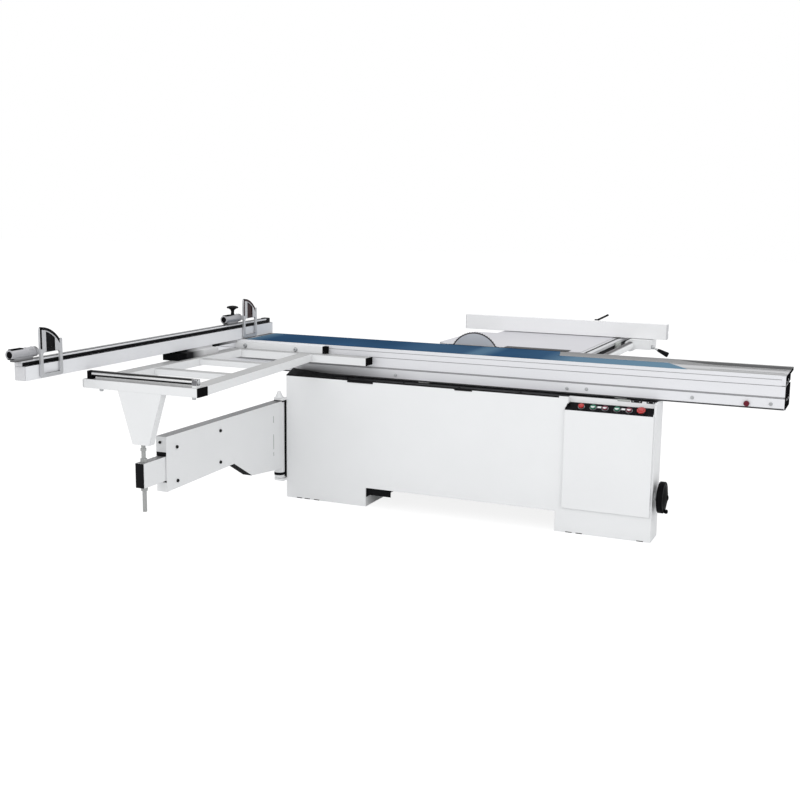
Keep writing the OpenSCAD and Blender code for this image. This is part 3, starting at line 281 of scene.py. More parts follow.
def turned(bm, foot, axis, profile, steps=24):
    axis = Vector(axis).normalized()
    side = axis.orthogonal().normalized()
    other = axis.cross(side)
    angles = [2 * math.pi * i / steps for i in range(steps)]
    spin = [side * math.cos(a) + other * math.sin(a) for a in angles]
    rings = []
    for r, h in profile:
        mid = Vector(foot) + axis * h
        rings.append([bm.verts.new(mid + d * r) for d in spin] if r > 1e-7 else [bm.verts.new(mid)])
    for a, b in zip(rings, rings[1:]):
        for i in range(steps):
            j = (i + 1) % steps
            if len(a) > 1 and len(b) > 1:
                bm.faces.new((a[i], a[j], b[j], b[i]))
            elif len(b) > 1:
                bm.faces.new((a[0], b[j], b[i]))
            elif len(a) > 1:
                bm.faces.new((a[i], a[j], b[0]))


def screw(bm, foot, axis, r, h, hollow=True):
    profile = [(0, 0), (r, 0), (r, h * 0.8), (r * 0.86, h)]
    profile += [(r * 0.52, h), (r * 0.5, h * 0.45), (0, h * 0.45)] if hollow else [(0, h)]
    turned(bm, foot, axis, profile, 18)


def prism(bm, near, far):
    near = [bm.verts.new(p) for p in near]
    far = [bm.verts.new(p) for p in far]
    bm.faces.new(near)
    bm.faces.new(far[::-1])
    for a in range(len(near)):
        bm.faces.new((near[a - 1], near[a], far[a], far[a - 1]))
    return far


def plate(bm, outline, x0, x1):
    return prism(bm, [at(x0, y, z) for y, z in outline], [at(x1, y, z) for y, z in outline])


plate_z, ramp_end_z = 711, 712.5
bm = bmesh.new()
for x, y in ((560, 605), (560, -55), (900, 605), (900, -55), (1240, 605), (1240, -55),
             (1560, -55), (1900, -55), (2120, -55)):
    screw(bm, at(x, y, plate_z), (0, 0, 1), 0.006, 0.004)
fit(bm, "top_plate_screws", "base", black)
bm = bmesh.new()
block(bm, at(908, -76.4, 694), at(1064, -74.8, 704), 0.0035)
block(bm, at(1540, -76.4, 697), at(1640, -74.8, 704), 0.0025)
# Painted shade: a black wedge against the beam's lower face at its left end.
for corner in plate(bm, [(-74, 711.2), (-1.5, 711.2), (-1.5, 738), (-3, 738)], 528, 830):
    corner.co.z = min(corner.co.z, ramp_end_z / mm_per_m)
fit(bm, "top_plate_lips_and_shade_wedge", "base", black)

# Cabinet back: a screwed service panel with pressed louvres, and a rolled bead on the dust spigot.
# Folded from the same white sheet; the screws are zinc plated socket screws.
back_y, panel_t = 625, 3
spigot_x, spigot_z = 955, 420
louvres, louvre_pitch = 14, 14
bm = bmesh.new()
block(bm, at(1120, back_y, 150), at(2080, back_y + panel_t, 650), 0.0012)
for i in range(louvres):
    z = 420 + louvre_pitch * i
    block(bm, at(1480, back_y + 1, z), at(1720, back_y + 8, z + 6), 0.0022)
turned(bm, at(spigot_x, back_y, spigot_z), (0, 1, 0),
       [(0.0602, 0.0), (0.074, 0.0), (0.074, 0.003), (0.0605, 0.003)], 48)
turned(bm, at(spigot_x, back_y + 47, spigot_z), (0, 1, 0),
       [(0.0602, 0), (0.0615, 0.001), (0.0622, 0.004), (0.0615, 0.007), (0.0602, 0.008)], 48)
fit(bm, "cabinet_back_panel", "base", white)
bm = bmesh.new()
for x in (1140, 1600, 2060):
    for z in (170, 630):
        screw(bm, at(x, back_y + panel_t, z), (0, 1, 0), 0.006, 0.004)
for x in (spigot_x - 55, spigot_x + 55):
    for z in (spigot_z - 54, spigot_z + 54):
        screw(bm, at(x, back_y, z), (0, 1, 0), 0.005, 0.0035)
fit(bm, "cabinet_back_screws", "base", zinc)

# Control cover: a bent white door over the switchgear, with a black strip on its sloping face.
# The strip is a plain satin plate that carries the lamp, four push buttons and the stop mushroom.
dress(white, "control_cover")
strip_black = surface("black_switch_plate", (0.005, 0.005, 0.006), 0.55, grain=700, depth=0.06, spec=0.06)
dress(strip_black, "button_strip")
strip_rise, strip_run = 32, 46
slope = math.atan2(strip_rise, strip_run)
face = Vector((0, -math.sin(slope), math.cos(slope)))
rise = Vector((0, math.cos(slope), math.sin(slope)))
button_pitch = 61
button_xs = [2227.5 + button_pitch * i for i in range(6)]


def on_strip(x, up_mm=0, out_mm=3):
    return at(x, -65, 662) + rise * up_mm / mm_per_m + face * out_mm / mm_per_m


dark_chrome = surface("dark_chrome", (0.2, 0.2, 0.21), 0.2, metal=1, grain=60, depth=0.02)
bm = bmesh.new()
for x in button_xs:
    turned(bm, on_strip(x), face,
           [(0.0116, 0), (0.0182, 0), (0.0182, 0.0008), (0.017, 0.0016), (0.0116, 0.0016)], 36)
fit(bm, "button_bezels", "base", dark_chrome)
tag_w, tag_h, tag_t = 20, 12, 0.7
bm = bmesh.new()
for i in (1, 3):
    mid = button_xs[i] + button_pitch / 2
    corners = [(mid + s * tag_w / 2, 6 + t * tag_h / 2) for s, t in ((-1, -1), (1, -1), (1, 1), (-1, 1))]
    prism(bm, [on_strip(u, v, 3) for u, v in corners], [on_strip(u, v, 3 + tag_t) for u, v in corners])
fit(bm, "button_tags", "base", white)

# Cover clips: a grey and two black clamp strips on the cover's upper edge, fixed with small screws.
# Stamped steel, one plated and two blackened.
grey_steel = surface("plated_grey_steel", (0.4, 0.42, 0.4), 0.45, metal=0.3, grain=300, depth=0.08)
clip_y, clip_back, clip_top = -43.5, -36, 714
bm = bmesh.new()
block(bm, at(2405, clip_y, 704), at(2470, clip_back, clip_top), 0.0012)
fit(bm, "cover_clip_grey", "base", grey_steel)
bm = bmesh.new()
block(bm, at(2474, clip_y, 703), at(2529, clip_back, clip_top), 0.0012)
block(bm, at(2551, clip_y, 703), at(2594, clip_back, clip_top), 0.0012)
fit(bm, "cover_clips_black", "base", black)
bm = bmesh.new()
for x in (2418, 2458, 2485, 2518, 2560, 2586):
    screw(bm, at(x, clip_y, 709), (0, -1, 0), 0.0032, 0.002)
fit(bm, "cover_clip_screws", "base", zinc)

# Cover sheets: white cheeks and a trim close the cover's recess, and a front sheet hangs over the cover.
# Thin painted steel, folded at the front sheet's left edge; a black end piece closes the button strip.
bm = bmesh.new()
for x in (2160.2, 2597.6):
    plate(bm, [(-75.2, 654.5), (-75.2, 711.4), (-40, 711.4), (-40, 679.5)], x, x + 2.2)
block(bm, at(2600.2, -76, 702.6), at(2611, 260, 711.6), 0.001)
block(bm, at(2112, -76, 702.6), at(2160, -73, 711.6), 0.001)
fit(bm, "cover_recess_trim", "base", white)
sheet_x, sheet_low, sheet_top = 2146, 131.8, 646.3
bm = bmesh.new()
plate(bm, [(-88.5, sheet_low), (-88.05, sheet_low), (-88.05, sheet_top), (-88.5, sheet_top)], sheet_x, 2600.3)
block(bm, at(sheet_x, -88.3, sheet_low), at(sheet_x + 2, -75.05, sheet_top), 0.0004)
for z in (sheet_low, sheet_top - 2):
    block(bm, at(sheet_x + 1, -88.2, z), at(2160.4, -75.05, z + 2), 0.0004)
fit(bm, "cover_front_sheet", "base", white)
bm = bmesh.new()
plate(bm, [(-89.7, 646.4), (-75.05, 646.4), (-75.05, 658.7), (-89.7, 648.5)], 2147.5, 2166)
plate(bm, [(-76.4, 657), (-43.7, 680), (-43.7, 681), (-76.4, 678)], 2162.6, 2166)
end_outline = [(2150, 658), (2166, 658), (2166, 677), (2157, 677)]
prism(bm, [at(x, -76.4, z) for x, z in end_outline], [at(x, -75.05, z) for x, z in end_outline])
fit(bm, "button_strip_end", "base", strip_black)

# Push buttons: moulded caps with a shallow dome, each on its own plunger; the lamp has a lens.
# Green starts, dark red stops and a bright red stop mushroom, in glossy coloured plastic.
moulded = dict(grain=500, depth=0.03)
green = surface("green_plastic", (0.008, 0.16, 0.085), 0.25, coat=0.2, **moulded)
maroon = surface("dark_red_plastic", (0.13, 0.006, 0.025), 0.25, coat=0.2, **moulded)
red = surface("red_plastic", (0.42, 0.012, 0.012), 0.25, coat=0.2, **moulded)
# Painted highlight: a white half-moon on the lower half of each button cap.
glint_arc = [math.pi + math.pi * k / 12 for k in range(13)]
glint_rim = [(math.cos(a) * 10.5, math.sin(a) * 9.5 - 1) for a in glint_arc]
for i, node, body, plastic, shade in ((0, "signal_lamp", "base", "red_plastic", red),
                                      (1, "start_button_1", "start_1", "green_plastic", green),
                                      (2, "stop_button_1", "stop_1", "red_plastic", maroon),
                                      (3, "start_button_2", "start_2", "green_plastic", green),
                                      (4, "stop_button_2", "stop_2", "red_plastic", maroon)):
    dress(shade, node)
    bm = bmesh.new()
    bulge = 0.0075 if i == 0 else 0.0048
    turned(bm, on_strip(button_xs[i], 0, 9.1), face,
           [(0, 0), (0.0148, 0), (0.0152, 0.001), (0.0146, bulge * 0.5), (0.0115, bulge * 0.78),
            (0.006, bulge * 0.96), (0, bulge)], 32)
    fit(bm, node + "_cap", body, shade)
    if i:
        bm = bmesh.new()
        prism(bm, *[[on_strip(button_xs[i] + u, v, out) for u, v in glint_rim] for out in (12.9, 14.1)])
        fit(bm, node + "_glint", body, white)
dress(red, "emergency_stop")
head = on_strip(button_xs[5], 0, 9)
grip_ribs = 20
bm = bmesh.new()
for k in range(grip_ribs):
    a = 2 * math.pi * k / grip_ribs
    out = Vector((1, 0, 0)) * math.cos(a) + rise * math.sin(a)
    turned(bm, head + out * 0.0206 + face * 0.0012, face,
           [(0, 0), (0.0016, 0), (0.0016, 0.0042), (0, 0.0046)], 8)
turned(bm, head + face * 0.001, face,
       [(0.0155, 0), (0.0205, 0), (0.021, 0.002), (0.0205, 0.0046), (0.0155, 0.005)], 40)
fit(bm, "stop_mushroom_grip", "emergency", red)

# Table lock: a dark red push button in the beam's side that holds the rolling table.
# Moulded plastic with a wide rounded cap on its plunger.
maroon_lock = surface("lock_button_plastic", (0.13, 0.008, 0.02), 0.3, spec=0.2, **moulded)
dress(maroon_lock, "table_lock_button")
bm = bmesh.new()
turned(bm, at(3025, -6.5, 737), (0, -1, 0),
       [(0, 0), (0.0135, 0), (0.014, 0.001), (0.0138, 0.004), (0.012, 0.0062), (0.006, 0.0074),
        (0, 0.0078)], 32)
fit(bm, "table_lock_cap", "table_lock", maroon_lock)


# Fixed beam: a hollow aluminium extrusion bolted on steel blocks, closed by black end plates.
# Satin mill finish with fine lines along its length, with a painted shadow dark low down over the cabinet's
# left end.
# Grey rubber strips fill its side groove and its gap, and a dark strip of painted shade runs along its foot.
def along(material, axis, start, end):
    tree = material.node_tree
    spot = tree.nodes.new("ShaderNodeTexCoord")
    split = tree.nodes.new("ShaderNodeSeparateXYZ")
    tree.links.new(spot.outputs["Object"], split.inputs[0])
    span = tree.nodes.new("ShaderNodeMapRange")
    span.inputs["From Min"].default_value = start
    span.inputs["From Max"].default_value = end
    tree.links.new(split.outputs[axis], span.inputs["Value"])
    return span.outputs[0]


def graded(material, value, marks):
    tree = material.node_tree
    ramp = tree.nodes.new("ShaderNodeValToRGB")
    stops = ramp.color_ramp.elements
    for i, (place, *shade) in enumerate(marks):
        stop = stops[i] if i < 2 else stops.new(place)
        stop.position = place
        stop.color = (*(shade if len(shade) == 3 else shade * 3), 1)
    tree.links.new(value, ramp.inputs["Fac"])
    return ramp.outputs["Color"]


def tone_over(material, factor, colour):
    tree = material.node_tree
    shader = tree.nodes["Principled BSDF"]
    blend = tree.nodes.new("ShaderNodeMix")
    blend.data_type = "RGBA"
    blend.inputs["B"].default_value = (*colour, 1)
    tree.links.new(factor, blend.inputs["Factor"])
    tree.links.new(shader.inputs["Base Color"].links[0].from_socket, blend.inputs["A"])
    tree.links.new(blend.outputs["Result"], shader.inputs["Base Color"])


table_l, end_plate_t = 3200, 5
alloy = (0.76, 0.762, 0.785)
drawn_along_x = dict(metal=0.12, grain=(4, 800, 800), depth=0.02, patch=0.01, worn=(0.8, 0.8, 0.81),
                     edge=0.0015, vary=0.06, spec=0.3)
beam_alloy = surface("shadowed_beam_aluminium", alloy, 0.42, **drawn_along_x)
# Painted shadow: the beam darkens low down from about 530 mm to 1310 mm along it.
shadow_reach = graded(beam_alloy, along(beam_alloy, "X", at(0, 0, 0).x, at(table_l, 0, 0).x),
               [(0.165, 0), (0.185, 0.96), (0.25, 0.78), (0.31, 0.52), (0.41, 0)])
painted_shadow = beam_alloy.node_tree.nodes.new("ShaderNodeMath")
painted_shadow.operation = "MULTIPLY"
beam_alloy.node_tree.links.new(shadow_reach, painted_shadow.inputs[0])
beam_alloy.node_tree.links.new(along(beam_alloy, "Z", 0.785, 0.73), painted_shadow.inputs[1])
tone_over(beam_alloy, painted_shadow.outputs[0], (0.05, 0.05, 0.05))
dress(beam_alloy, "beam")
steel = surface("brushed_steel", (0.42, 0.42, 0.42), 0.34, metal=1, grain=(200, 900, 200), depth=0.08)
dress(steel, "guide_rods", "beam_mounts")
washer_t = 0.0015
bm = bmesh.new()
for x, z in ((1165, 741), (2131, 741), (2233, 745), (2765, 744), (3137, 742)):
    turned(bm, at(x, 0, z), (0, -1, 0), [(0, 0), (0.009, 0), (0.009, washer_t), (0, washer_t)], 24)
    screw(bm, at(x, -washer_t * mm_per_m, z), (0, -1, 0), 0.0065, 0.006)
fit(bm, "beam_bolts", "base", zinc)
grained_black = surface("black_moulded_plastic", (0.005, 0.005, 0.006), 0.55, grain=900, depth=0.2, spec=0.08)
end_black = surface("matt_end_rubber", (0.006, 0.006, 0.0065), 0.8, grain=400, depth=0.2, spec=0.0)
bm = bmesh.new()
for x in (-end_plate_t, table_l):
    block(bm, at(x, 1, 716), at(x + end_plate_t, 189, 829), 0.002)
fit(bm, "beam_end_plates", "base", end_black)
bm = bmesh.new()
for x, way in ((-end_plate_t, -1), (table_l + end_plate_t, 1)):
    for y in (30, 95, 160):
        screw(bm, at(x, y, 765), (way, 0, 0), 0.0055, 0.003)
fit(bm, "beam_end_screws", "base", zinc)
seal_grey = surface("grey_seal_rubber", (0.36, 0.36, 0.37), 0.6, grain=500, depth=0.1, spec=0.2)
painted_dark_grey = surface("shade_and_reflection_grey", (0.06, 0.06, 0.062), 0.6, grain=500, depth=0.1, spec=0.1)
seal_start, seal_end = 2, table_l - 2
bm = bmesh.new()
block(bm, at(seal_start, 5, 770), at(seal_end, 8.9, 778), 0.0006)
block(bm, at(seal_start, 1.5, 830.3), at(seal_end, 10, 832.4), 0.0005)
fit(bm, "beam_seals", "base", seal_grey)
bm = bmesh.new()
block(bm, at(seal_start, -0.8, 715.2), at(seal_end, 0.5, 722.5), 0.0003)
fit(bm, "beam_foot_shade_strip", "base", painted_dark_grey)

# Rolling table: the upper aluminium extrusion on the guide rods, with its T-slot and side grooves.
# Black caps with screws close its ends and a line strip is pressed in; dark strips of painted shade line its
# T-slot, and a dark streak and a dark far edge at its right end are painted reflection.
# Painted reflection: its ground top is bright along the front edge and darker in bands towards the blade.
table_w = 375
table_top = surface("drawn_table_aluminium", alloy, 0.42, top_shade=(0.4, 0.4, 0.41), **drawn_along_x)
edge_highlight = [(0.0, 0.82, 0.83, 0.85), (0.035, 0.74, 0.75, 0.77)]
reflection_stops = ((0.067, 0.3), (0.13, 0.26), (0.2, 0.38), (0.3, 0.5), (0.42, 0.46), (0.5, 0.28), (0.6, 0.18),
        (0.8, 0.14), (1.0, 0.12))
top_reflection = graded(table_top, along(table_top, "Y", at(0, 0, 0).y, at(0, table_w, 0).y),
                edge_highlight + [(place, shade, shade, shade * 1.02) for place, shade in reflection_stops])
table_top.node_tree.links.new(top_reflection, table_top.node_tree.nodes["upper_faces"].inputs["B"])
dress(table_top, "carriage")
plug_end, plug_shown = at(1065, 0, 0).x, at(1031, 0, 0).x
bm = bmesh.new()
bm.from_mesh(nodes["carriage_caps"].data)
for v in bm.verts:
    if abs(v.co.x - plug_end) < 0.001 and at(0, -100, 0).y < v.co.y < at(0, 0, 0).y:
        v.co.x = plug_shown
fit(bm, "table_fittings", "sliding_table", end_black)
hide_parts("carriage_caps")
cap_l = 19
last_x = table_l - cap_l
bm = bmesh.new()
block(bm, at(cap_l, 0.8, 861.2), at(last_x, 2.9, 863.8), 0.0004)
fit(bm, "table_line_strip", "sliding_table", seal_grey)
# Painted shade: dark strips in the T-slot.
bm = bmesh.new()
block(bm, at(cap_l, 208, 864.2), at(last_x, 220, 865.8), 0.0004)
block(bm, at(cap_l, 219.4, 866), at(last_x, 220.9, 879.4), 0.0004)
# Painted reflection: a dark streak and a dark far edge on the table's bare right end.
block(bm, at(2830, 94, 879.7), at(3199, 101, 880.2), 0.0002)
edge_outline = [(2640, 345), (2700, 306), (2790, 262), (2860, 250), (3199, 250), (3199, 345)]
prism(bm, [at(x, y, 879.8) for x, y in edge_outline], [at(x, y, 880.5) for x, y in edge_outline])
fit(bm, "table_shade_and_reflection_strips", "sliding_table", painted_dark_grey)
bm = bmesh.new()
block(bm, at(last_x, -0.7, 834), at(3199.6, 0.4, 879.6), 0.0003)
block(bm, at(last_x, 0.2, 879.6), at(3199.6, 374.6, 880.3), 0.0003)
fit(bm, "table_cap_cover", "sliding_table", table_top)
bm = bmesh.new()
for x, way in ((0, -1), (table_l, 1)):
    for y in (30, 118, 205):
        screw(bm, at(x, y, 850), (way, 0, 0), 0.005, 0.003)
fit(bm, "table_cap_screws", "sliding_table", zinc)

# Factory film: thin blue plastic still stuck on the table's top in two strips, lifting at its cut ends.
# It is streaked along the table; pale bands along it and its lighter ends are painted reflections.
film_blue = surface("blue_protective_film", (0.036, 0.094, 0.19), 0.45, grain=(2.5, 90, 90), depth=0.25,
                    patch=0.25, spec=0.0)
film_start, film_z = 204, 880.25
painted_sheen = graded(film_blue, along(film_blue, "X", at(film_start, 0, 0).x, at(2705, 0, 0).x),
              [(0.0, 0.6), (0.045, 0), (0.35, 0), (0.42, 0.12), (0.53, 0.1), (0.55, 0.45), (0.57, 0.45),
               (0.6, 0), (0.7, 0.05), (0.77, 0.7), (1.0, 0.85)])
tone_over(film_blue, painted_sheen, (0.16, 0.27, 0.36))
long_steps, cross_steps = 130, 10
for name, y0, y1, end0, end1 in (("film_near", 15, 206, 2732, 2600), ("film_far", 206, 373.5, 2028, 1985)):
    bm = bmesh.new()
    rows = []
    for j in range(cross_steps + 1):
        t = j / cross_steps
        end = end0 + (end1 - end0) * t
        row = []
        for i in range(long_steps + 1):
            s = i / long_steps
            p = at(film_start + (end - film_start) * s, y0 + (y1 - y0) * t, film_z)
            wave = 0.5 + 0.5 * noise.noise(Vector((p.x * 2.2, p.y * 16, 3.0)))
            tip = max(0, (s - 0.985) / 0.015)
            p.z += 0.0004 * wave + 0.0011 * tip * tip
            row.append(bm.verts.new(p))
        rows.append(row)
    for a, b in zip(rows, rows[1:]):
        for i in range(long_steps):
            bm.faces.new((a[i], a[i + 1], b[i + 1], b[i]))
    fit(bm, name, "sliding_table", film_blue, 60)

# Outrigger: flat steel tubes welded and bolted into a frame, hung on a bar at the table's side.
# White powder coat with its upper faces painted grey as shade, over small weld beads; plated clamp bolts on
# the bar, black plugs in the open tubes.
# A black glide pad that turns pale grey towards the table, and a dark shoe of painted shade under the fence,
# carry the crosscut fence.
frame_white = surface("frame_powder_coat", (0.77, 0.775, 0.78), 0.42, worn=bare_steel, edge=0.002, spec=0.3,
                      top_shade=(0.4, 0.4, 0.4))
dress(frame_white, "frame_front_rail", "frame_left_rail", "frame_right_rail", "frame_inner_rail",
      "frame_slats", "support_bracket")
dress(white, "mounting_bar")
bm = bmesh.new()
for x, z in ((232, 850), (561, 848)):
    turned(bm, at(x, -32, z), (0, -1, 0), [(0, 0), (0.013, 0), (0.013, 0.002), (0, 0.002)], 24)
    screw(bm, at(x, -34, z), (0, -1, 0), 0.009, 0.009)
for x in (251, 768):
    turned(bm, at(x, -1360, 796), (0, 0, -1), [(0, 0), (0.014, 0), (0.014, 0.0025), (0, 0.0025)], 24)
    screw(bm, at(x, -1360, 793.5), (0, 0, -1), 0.0095, 0.012, False)
fit(bm, "clamp_screws", "sliding_table", zinc)
beads, bead_pitch = 14, 5.5
bm = bmesh.new()
for x, y, z in ((168, -1305, 837.6), (723, -1305, 837.6), (168, -92, 834.6), (618, -92, 834.6)):
    for k in range(beads):
        turned(bm, at(x + bead_pitch * k, y, z), (0, 0, 1),
               [(0, 0), (0.004, 0), (0.0034, 0.0012), (0, 0.0019)], 10)
fit(bm, "frame_welds", "sliding_table", white)
pad_grey = surface("graded_glide_plastic", (0.012, 0.012, 0.013), 0.6, grain=300, depth=0.15, spec=0.05)
tone_over(pad_grey, along(pad_grey, "Y", at(0, -545, 0).y, at(0, -430, 0).y), (0.62, 0.62, 0.625))
bm = bmesh.new()
block(bm, at(119.3, -600, 837.8), at(215.7, -289.4, 870.7), 0.002)
block(bm, at(119.3, -600, 869), at(175.6, -289.4, 881.8), 0.002)
fit(bm, "glide_pad_sleeve", "sliding_table", pad_grey)
# Painted shade: a dark block under the fence, turning grey towards the table.
fence_shade_grey = surface("painted_shade_under_fence", (0.008, 0.008, 0.009), 0.7, grain=300, depth=0.15, spec=0.05)
tone_over(fence_shade_grey, along(fence_shade_grey, "Y", at(0, -230, 0).y, at(0, -40, 0).y), (0.4, 0.4, 0.41))
bm = bmesh.new()
block(bm, at(123, -262, 866), at(178, -31, 881.6), 0.003)
fit(bm, "fence_shade_shoe", "sliding_table", fence_shade_grey)
bm = bmesh.new()
block(bm, at(160.5, -1384, 797), at(165.5, -1306, 837), 0.003)
block(bm, at(160.5, -91, 794), at(165.5, -13, 834), 0.003)
fit(bm, "tube_plugs", "sliding_table", grained_black)

# Support roller: a chromed steel tube on a through spindle, between a black block and a dark chromed one.
# Polished by use; reflections are painted into the chrome, bright along its side and dark above and below.
roller_chrome = surface("chromed_roller", (0.5, 0.5, 0.51), 0.22, metal=1, grain=(700, 30, 30), depth=0.03)
tree = roller_chrome.node_tree
skin = tree.nodes.new("ShaderNodeNewGeometry")
tilt = tree.nodes.new("ShaderNodeSeparateXYZ")
tree.links.new(skin.outputs["Normal"], tilt.inputs[0])
half = tree.nodes.new("ShaderNodeMapRange")
half.inputs["From Min"].default_value = -1
tree.links.new(tilt.outputs["Z"], half.inputs["Value"])
painted_reflection = graded(roller_chrome, half.outputs[0],
               [(0.36, 0.02), (0.41, 0.75, 0.75, 0.76), (0.66, 0.75), (0.72, 0.04), (0.93, 0.02), (1.0, 0.3)])
tree.links.new(painted_reflection, tree.nodes["Principled BSDF"].inputs["Base Color"])
dress(roller_chrome, "roller")
roller_y, roller_z = -1365, 865
bm = bmesh.new()
for x, way in ((796, 1), (185, -1)):
    turned(bm, at(x, roller_y, roller_z), (way, 0, 0),
           [(0, 0), (0.011, 0), (0.011, 0.003), (0.0085, 0.005), (0, 0.005)], 24)
fit(bm, "roller_end_nuts", "sliding_table", zinc)
bm = bmesh.new()
block(bm, at(769.3, -1379.7, 848), at(796.7, -1350.3, 877.8), 0.003)
fit(bm, "roller_right_block", "sliding_table", dark_chrome)

# Support arm: a welded sheet box that swings on the cabinet, with a tube that slides in its end.
# White sides, a top painted grey as shade, black-oxide bolts, black sheets of painted shade on its belly, at
# its end and round its hinge, and seam welds on its side.
arm_white = surface("arm_powder_coat", (0.78, 0.785, 0.79), 0.42, worn=(0.55, 0.55, 0.55), edge=0.002,
                    spec=0.3, top_shade=(0.2, 0.2, 0.205))
dress(arm_white, "support_arm", "telescope")
dress(white, "hinge_bracket")
rod_steel = surface("dull_threaded_steel", (0.36, 0.365, 0.36), 0.5, metal=0.4, grain=(30, 30, 900),
                    depth=0.3)
dress(rod_steel, "support_rod")
oxide = surface("black_oxide_steel", (0.012, 0.012, 0.012), 0.4, metal=0.4, grain=400, depth=0.06, spec=0.2)
arm_end_y, hinge_x, hinge_y = -1225, 485, -88
bm = bmesh.new()
for y, z in ((-1139, 496), (-1138, 328), (-751, 506), (-754, 341)):
    for x, way in ((514, 1), (456, -1)):
        screw(bm, at(x, y, z), (way, 0, 0), 0.0085, 0.007)
screw(bm, at(480, arm_end_y, 531), (0, -1, 0), 0.007, 0.006)
fit(bm, "arm_bolts", "swing_arm", oxide)
# Painted shade: black sheets on the sloping belly, in the gaps at the arm's end and as rings round the hinge
# barrel.
bm = bmesh.new()
plate(bm, [(-616, 303.5), (-441, 203.5), (-441.8, 201.5), (-617.2, 301.5)], 458, 512)
for x, z0, z1 in ((458, 464, 484), (492, 336, 344.5)):
    block(bm, at(x, arm_end_y - 1.2, z0), at(512.5, arm_end_y + 0.5, z1), 0.0005)
for z, h in ((553, 0.01), (130, 0.016)):
    turned(bm, at(hinge_x, hinge_y, z), (0, 0, 1),
           [(0.0291, 0), (0.0306, 0.0006), (0.0306, h - 0.0006), (0.0291, h)], 40)
fit(bm, "arm_shade_sheets", "swing_arm", matt_black_shade)
seam_pitch = 4
bm = bmesh.new()
for z0, z1 in ((455, 490), (304, 385), (266, 284)):
    for k in range(int((z1 - z0) / seam_pitch) + 1):
        turned(bm, at(513.8, -204, z0 + seam_pitch * k), (1, 0, 0),
               [(0, 0), (0.0032, 0), (0.0026, 0.001), (0, 0.0015)], 10)
fit(bm, "arm_seam_welds", "swing_arm", grey_steel)
bm = bmesh.new()
block(bm, at(462.7, -1402, 345.2), at(507.3, -1396, 462.8), 0.002)
fit(bm, "telescope_cap", "arm_tube", grained_black)
# Painted shade: black strips in the gap between the hinge and the cabinet.
bm = bmesh.new()
block(bm, at(513.2, -74, 114), at(524.6, -67.2, 574), 0.0015)
block(bm, at(494, -57, 114), at(514.5, -55, 574), 0.0008)
fit(bm, "hinge_gap_shade", "base", matt_black_shade)

# Crosscut fence: an aluminium extrusion with a slotted rail on top, on a steel pivot.
# Drawing lines run along it; a black scale lies on its step, grey caps close its ends; painted shade darkens
# its top faces.
drawn_y = surface("drawn_aluminium_along_y", (0.78, 0.785, 0.805), 0.45, metal=0.05, grain=(800, 4, 800),
                  depth=0.02, patch=0.01, worn=(0.75, 0.75, 0.76), edge=0.0012, vary=0.06, spec=0.04,
                  top_shade=(0.035, 0.035, 0.037))
dress(drawn_y, "crosscut_fence")
dress(steel, "fence_pivot")
strip_y0, strip_y1 = -1783, 371
bm = bmesh.new()
block(bm, at(160.6, strip_y0, 945.8), at(178.6, strip_y1, 946.6), 0.0003)
block(bm, at(159.8, strip_y0, 946.8), at(160.8, strip_y1, 962), 0.0003)
block(bm, at(125, strip_y0, 954.5), at(141, strip_y1, 956.5), 0.0004)
block(bm, at(119, 330, 947), at(161, 376, 972.5), 0.005, 3)
fit(bm, "fence_scale_strips", "mitre_fence", grained_black)
fence_ticks, fence_tick_pitch = 43, 50
bm = bmesh.new()
for k in range(fence_ticks):
    y = -1770 + fence_tick_pitch * k
    block(bm, at(162, y, 946.5), at(176 if k % 2 else 170, y + 1.4, 946.8))
fit(bm, "fence_scale_ticks", "mitre_fence", white)
cap_grey = surface("grey_moulded_plastic", (0.6, 0.6, 0.615), 0.5, grain=800, depth=0.15, spec=0.2)
bm = bmesh.new()
block(bm, at(121, -1789.5, 883), at(178, -1785, 945), 0.002)
block(bm, at(121, -1789.5, 947), at(159, -1785, 969), 0.002)
block(bm, at(121, 373, 883), at(178, 376.5, 945), 0.0015)
fit(bm, "fence_end_caps", "mitre_fence", cap_grey)

# Flip stops: cast aluminium frames on a barrel that clamps on the fence's rail.
# Satin castings with painted shade dark on their upper rims, with black inserts in the windows and plugs in
# the barrels.
cast_silver = surface("satin_aluminium_casting", (0.58, 0.585, 0.6), 0.38, metal=0.6, grain=260, depth=0.1,
                      top_shade=(0.1, 0.1, 0.105))
barrel_silver = surface("satin_aluminium_barrel", (0.46, 0.46, 0.48), 0.36, metal=0.5, grain=(60, 500, 60),
                        depth=0.08, patch=0.1, spec=0.2)
# The barrel blocks are darkened below the barrel, towards the fence's rail.
tone_over(barrel_silver, along(barrel_silver, "Z", 0.99, 0.972), (0.1, 0.1, 0.1))
dress(barrel_silver, "stop_1_block", "stop_2_block")
dress(cast_silver, "stop_1_flip", "stop_2_flip")
dress(grained_black, "stop_2_knob")
barrel_x, barrel_z, arch_z, front_x = 150, 1003, 949.5, 191.8
window_r, band_r, rim_r = 146.2, 151, 162.8
bm = bmesh.new()
turned(bm, at(barrel_x, -33, 1061), (0, 0, 1),
       [(0.0235, 0), (0.031, 0.001), (0.034, 0.005), (0.0325, 0.009), (0.022, 0.0135), (0, 0.0165)], 36)
fit(bm, "stop_knob_cap", "inner_stop_clamp", grained_black)
smoked = surface("smoked_insert", (0.03, 0.01, 0.01), 0.35, grain=300, depth=0.05, spec=0.2)


def arch(left, r, c0, c1):
    reach = [c0 + (c1 - c0) * k / 8 for k in range(9)]
    return [(left + c, arch_z + math.sqrt(r * r - c * c)) for c in reach]


